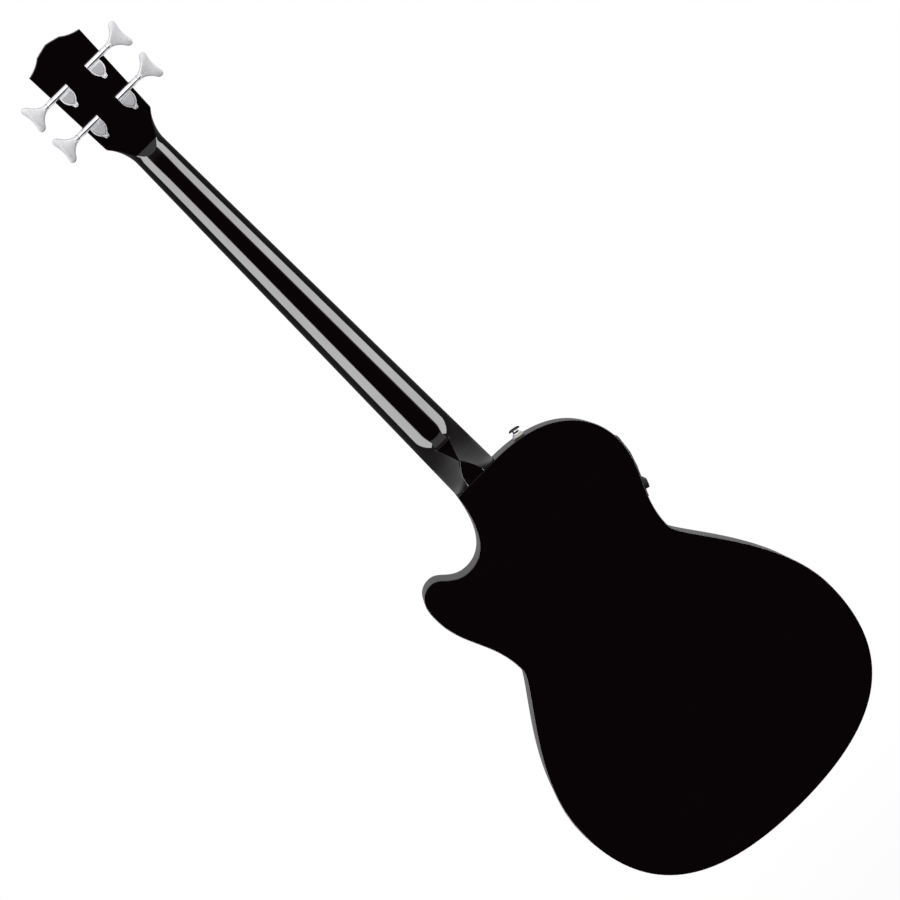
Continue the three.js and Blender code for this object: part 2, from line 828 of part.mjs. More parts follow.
function makePickguard() {
  const rim = rosetteInner + rosetteWidth + pickguardMargin;
  const [first, second, third, fourth] = pickguardBellyShares;
  const start = soundholeCentre + rim / 2;
  const end = start - pickguardLength;
  const outer = bent(
    at(0, start), at(rim + pickguardWidth * second, start + pickguardWidth * first),
    at(rim + pickguardWidth * third, between(start, end, fourth)), at(rim / 2, end));
  const inner = bent(
    at(rim / 2, end), at(rim * fourth, between(end, start, first)),
    at(0, between(end, start, fourth)), at(0, start));
  const plan = [...outer.getPoints(guardSteps[0]), ...inner.getPoints(guardSteps[1]).slice(1, -1)];
  const sheet = prism(plan.reverse(), -seatGap - pickguardThickness, -seatGap)
    .subtract(vertical(rim, 0, -overrun, overrun, soundholeCentre, finestSides));
  addPiece(guitar, 'pickguard', largestPart(sheet), ...blackPlastic);
}

// Bridge, saddle, pickup and pins

const bridgeBlockShare = 0.52;
const bridgeTaperShare = 0.78;
const bridgeEndShare = 0.36;

function makeBridge() {
  const half = bridgeWidth / 2;
  const front = -scaleLength + bridgeFront;
  const back = front - bridgeLength;
  const middle = (front + back) / 2;
  const face = -seatGap;
  const shoulderX = half * bridgeBlockShare;
  const taperX = half * bridgeTaperShare;
  const body = bar([
    at(-half, face), at(half, face), at(half, face - bridgeWingThickness),
    at(taperX, face - bridgeWingThickness), at(shoulderX, face - bridgeThickness),
    at(-shoulderX, face - bridgeThickness), at(-taperX, face - bridgeWingThickness),
    at(-half, face - bridgeWingThickness),
  ], back, front);
  const endHalf = bridgeLength * bridgeEndShare;
  const plan = prism([
    at(-half, middle - endHalf), at(-taperX, back), at(taperX, back), at(half, middle - endHalf),
    at(half, middle + endHalf), at(taperX, front), at(-taperX, front), at(-half, middle + endHalf),
  ], -farBack, farBack);
  const slotHalf = saddleThickness / 2 + seatGap;
  const slot = block(-saddleWidth / 2 - seatGap, saddleWidth / 2 + seatGap,
    -farBack, face - bridgeThickness + saddleSlotDepth,
    -scaleLength - slotHalf, -scaleLength + slotHalf);
  const form = cutBy(body.intersect(plan), [slot, ...pinHoles(-farBack, farBack)]);
  addPiece(guitar, 'bridge', form, ...darkWood);

  const floor = face - bridgeThickness + saddleSlotDepth;
  const strip = block(-saddleWidth / 2, saddleWidth / 2,
    floor - seatGap - pickupThickness, floor - seatGap,
    -scaleLength - saddleThickness / 2, -scaleLength + saddleThickness / 2);
  addPiece(guitar, 'saddle_pickup', strip, ...steel);
  const saddle = block(-saddleWidth / 2, saddleWidth / 2,
    saddleTop, floor - 2 * seatGap - pickupThickness,
    -scaleLength - saddleThickness / 2, -scaleLength + saddleThickness / 2);
  addPiece(guitar, 'saddle', saddle, ...ivory);
}

const pinCrownShares = [0.5, 0.86];

function makePins() {
  const seat = seatGap + bridgeThickness + seatGap;
  const headRadius = pinHeadDiameter / 2;
  pinPlaces.forEach((x, i) => {
    const pin = turned([
      [0, -pinLength], [pinTipDiameter / 2, -pinLength], [pinDiameter / 2, 0],
      [headRadius, 0], [headRadius, pinHeadHeight * pinCrownShares[0]],
      [headRadius * pinCrownShares[1], pinHeadHeight * pinCrownShares[1]],
      [0, pinHeadHeight],
    ], smallSides).rotateX(Math.PI);
    const room = block(-stringSlotWidth / 2, stringSlotWidth / 2,
      -pinHeadHeight - overrun, overrun, pinDiameter / 2 + seatGap, pinHeadDiameter);
    const mesh = addPiece(guitar, `bridge_pin_${i + 1}`, solid(pin).subtract(room), ...ivory);
    mesh.position.set(x, -seat, pinZ);
  });
}

// End jack and strap button

function makeEndJack() {
  const radius = jackFlangeDiameter / 2;
  const waist = jackWaistDiameter / 2;
  const barrel = jackBarrelDiameter / 2;
  const bore = jackBore / 2;
  const outside = seatGap + jackHeight;
  const profile = [
    [bore, -jackBarrelLength], [barrel, -jackBarrelLength], [barrel, seatGap],
    [radius, seatGap], [radius, seatGap + jackLip], [waist, seatGap + 2 * jackLip],
    [waist, outside - 2 * jackLip], [radius, outside - jackLip], [radius, outside],
    [bore, outside], [bore, -jackBarrelLength],
  ];
  const mesh = addPiece(guitar, 'end_pin_jack', turned(profile, roundSides), ...chrome);
  mesh.position.set(0, jackDepth, bodyTail);
  mesh.rotation.x = -Math.PI / 2;
}

function makeStrapButton() {
  guitar.add(strapFrame);
  const outward = -Math.PI / 2;
  const bore = screwDiameter / 2 + seatGap;
  const base = seatGap;
  const buttonBase = base + washerThickness + seatGap;
  const washer = turned([
    [bore, base], [washerDiameter / 2, base], [washerDiameter / 2, base + washerThickness],
    [bore, base + washerThickness], [bore, base],
  ], roundSides).rotateZ(outward);
  addPiece(strapFrame, 'strap_button_washer', washer, ...felt);
  const head = buttonBase + buttonHeight;
  const recess = screwHeadDiameter / 2 + seatGap;
  const recessFloor = head - screwHeadHeight - seatGap;
  const button = turned([
    [bore, buttonBase], [buttonBaseDiameter / 2, buttonBase],
    [buttonBaseDiameter / 2, buttonBase + buttonLip],
    [buttonWaistDiameter / 2, buttonBase + 2 * buttonLip],
    [buttonWaistDiameter / 2, head - 2 * buttonLip],
    [buttonFlangeDiameter / 2, head - buttonLip], [buttonFlangeDiameter / 2, head],
    [recess, head], [recess, recessFloor], [bore, recessFloor], [bore, buttonBase],
  ], roundSides).rotateZ(outward);
  addPiece(strapFrame, 'strap_button', button, ...chrome);
  const screw = turned([
    [0, head - screwLength], [screwDiameter / 2, head - screwLength + screwDiameter],
    [screwDiameter / 2, recessFloor + seatGap], [screwHeadDiameter / 2, recessFloor + seatGap],
    [screwHeadDiameter / 2, head - seatGap], [0, head],
  ], smallSides).rotateZ(outward);
  addPiece(strapFrame, 'strap_button_screw', screw, ...steel);
}

// Preamp

// How far the side has curved in below the frame's plane, at a place along it.
function rimDrop(along) {
  const inverse = preampFrame.matrixWorld.clone().invert();
  const inFrame = (place) => new THREE.Vector3(
    place.x, preampCentreDepth, place.y).applyMatrix4(inverse);
  const share = shareWhile(preampCurve, (place) => inFrame(place).z < along);
  return inFrame(preampCurve.getPoint(share)).x;
}

const knobCrownShares = [0.8, 0.9];

function makePreamp() {
  guitar.add(preampFrame);
  const shell = bodyBand(-seatGap - panelThickness, -seatGap, 0, farBack);
  const doorLow = -doorPlace;
  const doorHigh = doorLow + doorLength;
  const outside = -farBack / 2;
  const panelSlab = shell.intersect(inPreamp(
    outside, farBack / 2, panelWidth / 2, -panelLength / 2, panelLength / 2));
  const knobPlaces = [-knobPitch, 0, knobPitch];
  const bore = (radius, y, z) => {
    const geometry = new THREE.CylinderGeometry(radius, radius, farBack, smallSides);
    geometry.rotateZ(Math.PI / 2);
    geometry.translate(0, y, z);
    return geometry;
  };
  const knobBores = knobPlaces.map((y) => bore(knobShaftDiameter / 2 + seatGap, y, knobAlong));
  const buttonBore = bore(pushButtonDiameter / 2 + seatGap, 0, pushButtonAlong);
  const doorRoom = inPreamp(outside, farBack / 2, doorWidth / 2 + seatGap,
    doorLow - seatGap, doorHigh + seatGap);
  const cutters = [...knobBores, buttonBore].map((geometry) => solid(placed(geometry, preampFrame)));
  addPiece(guitar, 'preamp_panel', cutBy(panelSlab, [...cutters, doorRoom]), ...blackPlastic);

  // The door turns about its edge nearest the knobs, at its outer face.
  const hinge = new THREE.Group();
  hinge.position.set(rimDrop(doorHigh) + seatGap + panelThickness, 0, doorHigh);
  preampFrame.add(hinge);
  hinge.updateMatrixWorld();
  const door = shell.intersect(inPreamp(outside, farBack / 2, doorWidth / 2, doorLow, doorHigh));
  const doorGeometry = geometryOf(door).applyMatrix4(hinge.matrixWorld.clone().invert());
  addPiece(hinge, 'battery_door', doorGeometry, ...blackPlastic);

  const halfWidth = panelWidth / 2 - panelMargin - seatGap;
  const halfLength = housingLength / 2;
  const housingFace = Math.min(rimDrop(halfLength), rimDrop(-halfLength)) - 2 * seatGap;
  const battery = {
    low: doorLow + (doorLength - batteryLength) / 2,
    half: batteryWidth / 2,
  };
  const local = (xLow, xHigh, yHalf, zLow, zHigh) => {
    const geometry = new THREE.BoxGeometry(xHigh - xLow, 2 * yHalf, zHigh - zLow);
    geometry.translate((xLow + xHigh) / 2, 0, (zLow + zHigh) / 2);
    return solid(geometry);
  };
  const housing = cutBy(
    local(housingFace - housingDepth, housingFace, halfWidth, -halfLength, halfLength),
    [
      local(housingFace - seatGap - batteryDepth, farBack, battery.half + seatGap,
        battery.low - seatGap, battery.low + batteryLength + seatGap),
      ...knobPlaces.map((y) => solid(bore(knobShaftDiameter / 2 + seatGap, y, knobAlong)))
        .map((cutter) => cutter.intersect(
          local(housingFace - knobShaftLength, farBack, farBack, -farBack, farBack))),
      solid(bore(pushButtonDiameter / 2 + seatGap, 0, pushButtonAlong)).intersect(
        local(housingFace - pushButtonLength, farBack, farBack, -farBack, farBack)),
    ]);
  addPiece(preampFrame, 'preamp_housing', housing, ...blackPlastic);
  addPiece(preampFrame, 'battery', local(housingFace - batteryDepth, housingFace,
    battery.half, battery.low, battery.low + batteryLength), ...steel);

  const knobNames = ['volume_knob', 'bass_knob', 'treble_knob'];
  const knobBase = Math.max(...[-1, 0, 1].map((side) => rimDrop(knobAlong + side * knobDiameter / 2)))
    + 2 * seatGap + panelThickness;
  const [crown, edge] = knobCrownShares;
  knobPlaces.forEach((y, i) => {
    const knob = turned([
      [0, housingFace - knobShaftLength / 2 - knobBase],
      [knobShaftDiameter / 2, housingFace - knobShaftLength / 2 - knobBase],
      [knobShaftDiameter / 2, 0], [knobDiameter / 2, 0], [knobDiameter / 2 * edge, knobHeight * crown],
      [knobDiameter / 2 * crown, knobHeight], [0, knobHeight],
    ], roundSides).rotateZ(-Math.PI / 2);
    const mesh = addPiece(preampFrame, knobNames[i], knob, ...blackPlastic);
    mesh.position.set(knobBase, y, knobAlong);
  });

  const buttonTop = rimDrop(pushButtonAlong) + seatGap + panelThickness + pushButtonProud;
  const buttonForm = turned([
    [0, housingFace - pushButtonLength / 2 - buttonTop],
    [pushButtonDiameter / 2, housingFace - pushButtonLength / 2 - buttonTop],
    [pushButtonDiameter / 2, -pushButtonProud / 2], [pushButtonDiameter / 2 * edge, 0], [0, 0],
  ], smallSides).rotateZ(-Math.PI / 2);
  const button = addPiece(preampFrame, 'tuner_push_button', buttonForm, ...blackPlastic);
  button.position.set(buttonTop, 0, pushButtonAlong);
}

// Neck, heel, fingerboard, nut and truss rod

const headFrame = new THREE.Group();
headFrame.position.set(0, 0, headStart);
headFrame.rotation.x = -THREE.MathUtils.degToRad(headTilt);
headFrame.updateMatrixWorld();

const neckRound = 2.2;
const blendRounds = [2.2, 2.8, 4.5, 9];
const blendAlongShares = [-0.6, 0, 0.55, 1];
const blendLength = 14;
const blendInset = 0.25;

// A D-shaped section: a flat face to the front, straight edges, then a round back.
function neckSection(z, width, front, depth, roundness) {
  const half = width / 2;
  const ring = [];
  for (let i = 0; i <= sectionSteps; i += 1) {
    const angle = (i / sectionSteps) * Math.PI;
    const across = Math.cos(angle);
    const out = Math.sin(angle);
    ring.push(new THREE.Vector3(
      half * Math.sign(across) * Math.abs(across) ** (2 / roundness),
      front + neckSideFlat + (depth - neckSideFlat) * Math.max(out, 0) ** (2 / roundness), z));
  }
  ring.push(new THREE.Vector3(-half, front, z), new THREE.Vector3(half, front, z));
  return ring;
}

function neckShaft() {
  const end = bodyTop + seatGap;
  const depthAt = (z) => between(neckDepthAtNut, neckDepthAtHeel, z / bodyTop);
  const rings = [
    neckSection(end, neckWidthAt(end), 0, depthAt(end), neckRound),
    neckSection(-blendLength, neckWidthAt(-blendLength), 0, depthAt(-blendLength), neckRound),
  ];
  const tilt = THREE.MathUtils.degToRad(headTilt);
  blendRounds.forEach((roundness, i) => {
    const z = blendLength * blendAlongShares[i];
    const inHead = z > headStart;
    const width = inHead ? headHalfWidthAt((z - headStart) / Math.cos(tilt)) * 2 : neckWidthAt(z);
    const front = inHead ? (z - headStart) * Math.tan(tilt) + blendInset : 0;
    const share = (i + 1) / blendRounds.length;
    const back = (z - headStart) * Math.tan(tilt) + headThickness / Math.cos(tilt) - blendInset;
    const depth = between(depthAt(Math.min(z, 0)), back, share * share) - front;
    rings.push(neckSection(z, width - (inHead ? 2 * blendInset : 0), front, depth, roundness));
  });
  return solid(loft(rings));
}

const flareBendShares = [0.117, 0.543];

function flareCurve() {
  const start = nutWidth / 2;
  const corner = headBaseWidth / 2;
  return new THREE.QuadraticBezierCurve(
    at(start, 0),
    at(between(start, corner, flareBendShares[0]), headCornerAlong * flareBendShares[1]),
    at(corner, headCornerAlong));
}

function headHalfWidthAt(along) {
  const curve = flareCurve();
  const share = Math.max(0, along / headCornerAlong);
  return curve.getPoint(share).x;
}

const scoopShares = [0.589, 0.222];
const scrollShares = [0.2, 0.9];

function headOutline() {
  const corner = at(headTopWidth / 2, headTopCornerAlong);
  const notch = at(headScrollWidth / 2, headScrollAlong);
  const tip = at(0, headLength);
  const scoop = new THREE.QuadraticBezierCurve(corner,
    at(between(corner.x, notch.x, scoopShares[0]), between(corner.y, notch.y, scoopShares[1])),
    notch);
  const scroll = new THREE.QuadraticBezierCurve(notch,
    at(notch.x * scrollShares[0], between(notch.y, tip.y, scrollShares[1])), tip);
  const flare = flareCurve().getPoints(bendSteps)
    .filter((place) => place.y > headFlareStart);
  const right = [
    at(headHalfWidthAt(headFlareStart), headFlareStart), ...flare,
    ...scoop.getPoints(bendSteps), ...scroll.getPoints(bendSteps).slice(1),
  ];
  const left = right.slice(0, -1).reverse().map((place) => at(-place.x, place.y));
  return [...right, ...left];
}

const tuners = tunerAlong.flatMap((along) => [-1, 1].map((side) => ({ side, along })));

function headPlate() {
  const plate = prism(headOutline(), 0, headThickness);
  const holes = tuners.map(({ side, along }) => vertical(bushingSleeveDiameter / 2 + seatGap,
    side * postPlace, -overrun, headThickness + overrun, along - gearOffset, roundSides));
  return solid(placed(geometryOf(cutBy(plate, holes)), headFrame));
}

const heelDepths = 9;
const heelSideShares = [0.92, 0.72];

function heelRing(y, halfWidth, reach) {
  const base = bodyTop + seatGap;
  const [flank, point] = heelSideShares;
  const side = new THREE.CubicBezierCurve(
    at(halfWidth, 0), at(halfWidth * flank, reach / 2), at(halfWidth / 2, reach * point),
    at(0, reach)).getPoints(bendSteps);
  const right = side.map((place) => new THREE.Vector3(place.x, y, base + place.y));
  const left = side.slice(0, -1).reverse()
    .map((place) => new THREE.Vector3(-place.x, y, base + place.y));
  return [...right, ...left];
}

const heelEnd = () => backAt(0, bodyTop) - heelCapThickness - seatGap;

function heel() {
  const start = neckDepthAtHeel / 2;
  const end = heelEnd();
  const rings = [];
  for (let i = 0; i <= heelDepths; i += 1) {
    const share = i / heelDepths;
    const width = between(heelCapWidth, neckWidthAt(bodyTop), (1 - share) ** heelSweep);
    const reach = between(heelCapLength, heelReach, (1 - share) ** heelReachSweep);
    rings.push(heelRing(between(start, end, share), width / 2, reach));
  }
  return solid(loft(rings));
}

function makeNeck() {
  const channel = block(-trussRodWidth / 2 - seatGap, trussRodWidth / 2 + seatGap,
    -overrun, trussRodDepth + seatGap,
    -trussRodStart - trussRodLength - seatGap, -trussRodStart + seatGap);
  const form = cutBy(joined([neckShaft(), headPlate(), heel()]), [channel]);
  addPiece(guitar, 'neck', form, ...glossBlack);
  const truss = block(-trussRodWidth / 2, trussRodWidth / 2, 0, trussRodDepth,
    -trussRodStart - trussRodLength, -trussRodStart);
  addPiece(guitar, 'truss_rod', truss, ...steel);
  const capLow = heelEnd() + seatGap;
  const cap = loft([
    heelRing(capLow, heelCapWidth / 2, heelCapLength),
    heelRing(capLow + heelCapThickness, heelCapWidth / 2, heelCapLength),
  ]);
  addPiece(guitar, 'heel_cap', cap, ...blackPlastic);
}

// A crowned strip across the board, at a height over the gluing plane.
function crownedSection(z, halfWidth, low, high) {
  const ring = [new THREE.Vector3(halfWidth, low, z), new THREE.Vector3(-halfWidth, low, z)];
  for (let i = 0; i <= crownSteps; i += 1) {
    const across = between(-1, 1, i / crownSteps);
    ring.push(new THREE.Vector3(
      halfWidth * across, high + boardCrown * across * across, z));
  }
  return ring;
}

function makeFingerboard() {
  const boardAt = (z) => crownedSection(z, neckWidthAt(z) / 2, -seatGap, boardFace);
  const forms = [solid(loft([boardAt(boardEnd), boardAt(0)]))];
  const middle = (boardFace - seatGap) / 2;
  for (let fret = 1; fret <= fretCount; fret += 1) {
    const z = -fretPlace(fret);
    const half = neckWidthAt(z) / 2 - fretInset;
    forms.push(solid(loft([
      crownedSection(z - fretWidth / 2, half, middle, boardFace - fretHeight / 2),
      crownedSection(z, half, middle, fretTop),
      crownedSection(z + fretWidth / 2, half, middle, boardFace - fretHeight / 2),
    ])));
  }
  addPiece(guitar, 'fingerboard', joined(forms), ...darkWood);
}

const nutStringFloor = fretTop - nutStringLift;
const nutStringPlaces = stringDiameters.map((diameter, i) => between(
  -nutStringSpread / 2, nutStringSpread / 2, i / (stringDiameters.length - 1)));

function makeNut() {
  const half = nutWidth / 2;
  const body = block(-half, half, nutStringFloor - nutShoulder, -seatGap,
    seatGap, seatGap + nutThickness);
  const slots = stringDiameters.map((diameter, i) => block(
    nutStringPlaces[i] - diameter / 2 - seatGap, nutStringPlaces[i] + diameter / 2 + seatGap,
    nutStringFloor - nutShoulder - overrun, nutStringFloor, -overrun, nutThickness + overrun));
  addPiece(guitar, 'nut', cutBy(body, slots), ...ivory);
}

// Tuners

// Each tuner is drawn for the treble side and mirrored for the bass side.
function mirroredPlan(plan, side) {
  const turnedPlan = plan.map((place) => at(side * place.x, place.y));
  return side < 0 ? turnedPlan.reverse() : turnedPlan;
}

const coverBase = headThickness + seatGap;
const wormAxis = coverBase + wormLift;
const coverCurveShares = [0.7, 0.62];

function coverOutline() {
  const bend = new THREE.CubicBezierCurve(
    at(coverHalfWidth, -coverDrop), at(coverHalfWidth, -coverDrop / 2 - coverEarDrop / 2),
    at(coverEarWidth * coverCurveShares[0], -coverEarDrop * coverCurveShares[1] - coverDrop / 2),
    at(coverEarWidth / 2 * coverCurveShares[0], -coverEarDrop));
  const right = [at(coverHalfWidth, 0), ...bend.getPoints(bendSteps)];
  const left = right.slice().reverse().map((place) => at(-place.x, place.y));
  return [...right, ...left].reverse();
}

const wheelRadius = gearOffset - wormDiameter / 2 - wormClearance;
const wheelFoot = coverBase + seatGap;

function makeTunerHousing(name, side, along) {
  const x = side * postPlace;
  const cover = prism(coverOutline().map((place) => at(x + side * place.x, along + place.y)),
    coverBase, coverBase + coverHeight);
  const inner = side * wormTubeInner;
  const outer = side * wormTubeOuter;
  const worm = (radius, from, to, sides) => rod(radius,
    new THREE.Vector3(from, wormAxis, along), new THREE.Vector3(to, wormAxis, along), sides);
  const sleeve = worm(wormTubeDiameter / 2, inner, outer, smallSides);
  const bore = worm(wormDiameter / 2 + seatGap, inner + side * coverWall,
    outer + side * overrun, smallSides);
  const wheelRoom = vertical(wheelRadius + seatGap, x, coverBase - overrun,
    wheelFoot + wheelThickness + seatGap, along - gearOffset, roundSides);
  const form = cutBy(joined([cover, sleeve]), [bore, wheelRoom]);
  addPiece(headFrame, name, form, ...satinNickel);
}

const paddleFlankShares = [[0.1, 0.19], [0.22, 0.28], [0.33, 0.4], [0.43, 0.55], [0.49, 0.7]];
const paddleLobeShares = [[0.55, 0.88], [0.66, 0.99], [0.8, 0.97], [0.9, 0.86], [0.9, 0.66],
  [0.84, 0.35]];
const paddleWaistShare = 0.81;

// Shares of the paddle's length and half width, round one half of the fan.
function paddleOutline() {
  const right = [at(0, paddleNeckHalfWidth),
    ...[...paddleFlankShares, ...paddleLobeShares].map(([reach, spread]) => at(
      paddleLength * reach / paddleReachShare, paddleHalfWidth * spread))];
  const left = right.slice().reverse().map((place) => at(place.x, -place.y));
  return [...right, at(paddleLength * paddleWaistShare / paddleReachShare, 0), ...left];
}

const paddleReachShare = 0.9;

function makeTunerKey(name, side, along) {
  const plan = paddleOutline().map((place) => at(side * (paddleStart + place.x), place.y));
  const fan = prism(side > 0 ? plan.reverse() : plan, -paddleThickness / 2, paddleThickness / 2);
  const shaft = (radius, from, to, sides) => rod(radius,
    new THREE.Vector3(side * from, 0, 0), new THREE.Vector3(side * to, 0, 0), sides);
  const wormStart = wormTubeInner + coverWall + seatGap;
  const form = joined([
    fan,
    shaft(paddleNeckHalfWidth, paddleStart, paddleStart + paddleThickness, smallSides),
    shaft(wormShaftDiameter / 2, wormStart, paddleStart + paddleThickness, smallSides),
    shaft(wormDiameter / 2, postPlace - wormLength / 2, postPlace + wormLength / 2, smallSides),
  ]);
  const mesh = addPiece(headFrame, name, form, ...chrome);
  mesh.position.set(0, wormAxis, along);
}

function makeTunerPost(name, side, along) {
  const foot = wheelFoot + wheelThickness;
  const bushingTop = seatGap + bushingHeight + seatGap;
  const profile = [
    [0, -foot], [wheelRadius, -foot], [wheelRadius, -wheelFoot], [postDiameter / 2, -wheelFoot],
    [postDiameter / 2, bushingTop], [postWaistDiameter / 2, bushingTop + postFoot / 2],
    [postWaistDiameter / 2, postHeight - postTopHeight],
    [postTopDiameter / 2, postHeight - postTopHeight / 2],
    [postTopDiameter / 2, postHeight], [0, postHeight],
  ];
  const round = solid(turned(profile, roundSides).rotateX(Math.PI));
  const slot = block(-postSlotWidth / 2, postSlotWidth / 2, -postHeight - overrun,
    -postHeight + postSlotDepth, -postDiameter, postDiameter);
  const mesh = addPiece(headFrame, name, round.subtract(slot), ...chrome);
  mesh.position.set(side * postPlace, 0, along - gearOffset);
}

function makeTunerBushing(name, side, along) {
  const bore = postDiameter / 2 + seatGap;
  const sleeve = bushingSleeveDiameter / 2;
  const rim = bushingDiameter / 2;
  const profile = [
    [bore, -bushingSleeveLength], [sleeve, -bushingSleeveLength], [sleeve, seatGap],
    [rim, seatGap], [rim, seatGap + bushingHeight / 2], [sleeve, seatGap + bushingHeight],
    [bore, seatGap + bushingHeight], [bore, -bushingSleeveLength],
  ];
  const mesh = addPiece(headFrame, name, turned(profile, roundSides).rotateX(Math.PI), ...chrome);
  mesh.position.set(side * postPlace, 0, along - gearOffset);
}

function makeTuners() {
  guitar.add(headFrame);
  tuners.forEach(({ side, along }) => {
    const label = `${side < 0 ? 'bass' : 'treble'}_${along === tunerAlong[0] ? 'lower' : 'upper'}`;
    makeTunerHousing(`tuner_housing_${label}`, side, along);
    makeTunerKey(`tuner_key_${label}`, side, along);
    makeTunerPost(`tuner_post_${label}`, side, along);
    makeTunerBushing(`tuner_bushing_${label}`, side, along);
  });
}

// Strings

// Which tuner each string goes to, from the lowest string to the highest.
const stringTuners = [
  { side: -1, along: tunerAlong[0] }, { side: -1, along: tunerAlong[1] },
  { side: 1, along: tunerAlong[1] }, { side: 1, along: tunerAlong[0] },
];

function makeString(i) {
  const diameter = stringDiameters[i];
  const radius = diameter / 2;
  const { side, along } = stringTuners[i];
  const pinX = pinPlaces[i];
  const nutX = nutStringPlaces[i];
  const toHead = headFrame.matrixWorld.clone().invert();
  const overNut = new THREE.Vector3(nutX, nutStringFloor - seatGap - radius, nutThickness);
  const overSaddle = new THREE.Vector3(pinX, saddleTop - seatGap - radius, -scaleLength);
  const bridgeTop = -(seatGap + bridgeThickness);
  const below = cavityTop + bridgePlateThickness + seatGap;
  const mouth = new THREE.Vector3(pinX, bridgeTop - radius - seatGap, stringDrop);

  // Over the post: the string meets its coil on the post's inner side.
  const coilRadius = postWaistDiameter / 2 + seatGap + radius;
  const pitch = diameter + windingGap;
  const start = overNut.clone().applyMatrix4(toHead);
  const axis = new THREE.Vector3(side * postPlace, 0, along - gearOffset);
  const away = Math.atan2(start.z - axis.z, start.x - axis.x);
  const reach = Math.hypot(start.x - axis.x, start.z - axis.z);
  const meet = away + side * -Math.acos(coilRadius / reach);
  const lowest = seatGap + bushingHeight + seatGap + postFoot / 2 + radius;
  const steps = Math.round(loopSteps * stringTurns);
  const coil = [];
  for (let k = 0; k <= steps; k += 1) {
    const angle = meet - side * (k / loopSteps) * 2 * Math.PI;
    coil.push(new THREE.Vector3(
      axis.x + coilRadius * Math.cos(angle),
      -(lowest + pitch * (k / loopSteps)),
      axis.z + coilRadius * Math.sin(angle)).applyMatrix4(headFrame.matrixWorld));
  }
  const ball = ballDiameter / 2;
  const ballZ = pinZ + pinDiameter / 2 + seatGap + ball;
  const points = [
    new THREE.Vector3(pinX, below + ballLength, ballZ),
    new THREE.Vector3(pinX, below + seatGap, ballZ),
    new THREE.Vector3(pinX, below, stringDrop),
    mouth, overSaddle, overNut, ...coil,
  ];
  const radii = points.map((point, k) => (k < 2 ? ball : radius));
  const gap = leastSelfGap(coil, radius, loopSteps / 2);
  console.log(`string ${i + 1}: least gap to itself ${gap.toFixed(2)} mm`);
  addPiece(guitar, `string_${i + 1}`, tube(points, radii, stringSides), ...bronze);
}

makeSoundboard();
makeBackPlate();
makeBindings();
makeSides();
makeLinings();
makeBlocks();
makeTopBraces();
makeBackBraces();
makeRosette();
makePickguard();
makeBridge();
makePins();
makeEndJack();
makeStrapButton();
makePreamp();
makeNeck();
makeFingerboard();
makeNut();
makeTuners();
stringDiameters.forEach((diameter, i) => makeString(i));

export default guitar;
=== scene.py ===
"""Black cutaway acoustic bass guitar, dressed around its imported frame."""
import json
import math

import bmesh
import bpy
from bpy.props import FloatProperty, FloatVectorProperty, PointerProperty
from mathutils import Matrix, Quaternion, Vector
from mathutils.geometry import interpolate_bezier


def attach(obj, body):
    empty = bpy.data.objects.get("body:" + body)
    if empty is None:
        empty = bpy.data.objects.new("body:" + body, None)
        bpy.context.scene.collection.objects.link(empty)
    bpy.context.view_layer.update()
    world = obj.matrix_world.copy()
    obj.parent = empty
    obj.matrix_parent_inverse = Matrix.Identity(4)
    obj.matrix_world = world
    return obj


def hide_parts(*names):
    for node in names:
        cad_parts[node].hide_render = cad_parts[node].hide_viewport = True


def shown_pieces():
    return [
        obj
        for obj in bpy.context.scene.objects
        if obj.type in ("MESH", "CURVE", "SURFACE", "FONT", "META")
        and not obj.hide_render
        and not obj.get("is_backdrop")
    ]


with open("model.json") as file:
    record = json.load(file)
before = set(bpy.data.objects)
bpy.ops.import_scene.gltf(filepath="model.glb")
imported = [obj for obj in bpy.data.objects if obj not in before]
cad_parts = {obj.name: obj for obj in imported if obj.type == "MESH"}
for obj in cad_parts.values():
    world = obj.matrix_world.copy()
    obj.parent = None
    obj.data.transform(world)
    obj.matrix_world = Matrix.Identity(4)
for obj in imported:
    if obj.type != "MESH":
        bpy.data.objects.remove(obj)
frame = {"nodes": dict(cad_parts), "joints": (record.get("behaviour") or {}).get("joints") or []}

bl_info = {
    "name": "Acoustic bass guitar",
    "version": (1, 0, 0),
    "blender": (4, 5, 0),
    "location": "View3D > Sidebar > Bass guitar",
    "description": "Builds the pieces, finishes and stage of an acoustic bass guitar",
    "category": "Object",
}

# A millimetre in metres, and how near corners merge, in millimetres
MM = 0.001
OWN_WELD = 0.001
CAD_WELD = 0.01

JOINTS = {joint["name"]: joint for joint in frame["joints"]}
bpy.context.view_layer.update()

# Scale, neck and fingerboard, in millimetres
SCALE_LENGTH = 812.8
JOINT_FRET = 18
FRET_COUNT = 22
NUT_WIDTH = 42.9
JOINT_WIDTH = 60.5
BOARD_THICKNESS = 6.5
BOARD_CROWN = 0.9
BOARD_OVERHANG = 8
FRET_HEIGHT = 1.1
SEAT_GAP = 0.3
NUT_THICKNESS = 6
NECK_DEPTH_NUT = 15.5
NECK_DEPTH_HEEL = 18.5
NECK_SIDE_FLAT = 2.2
NECK_ROUND = 2.2
FRONT_EDGE = 0.5
ROD_CHANNEL = ((-3.3, -6, -450.3), (3.3, 8.3, -19.7))
CAP_LENGTH = 26
CAP_WIDTH = 25
CAP_THICKNESS = 2.6

# Headstock
HEAD_TILT = math.radians(12)
HEAD_THICKNESS = 14.5
HEAD_START = NUT_THICKNESS + 2 * SEAT_GAP
HEAD_LENGTH = 166.5
HEAD_TOP_CORNER = (40.1, 152.4)
HEAD_BASE_CORNER = (35.6, 33.7)
HEAD_SCROLL_CORNER = (17.7, 162.3)
HEAD_FLARE_BEND = (23.1, 18.3)
HEAD_SCOOP_BEND = (26.9, 154.6)
HEAD_CROWN_BEND = (3.5, 166.1)

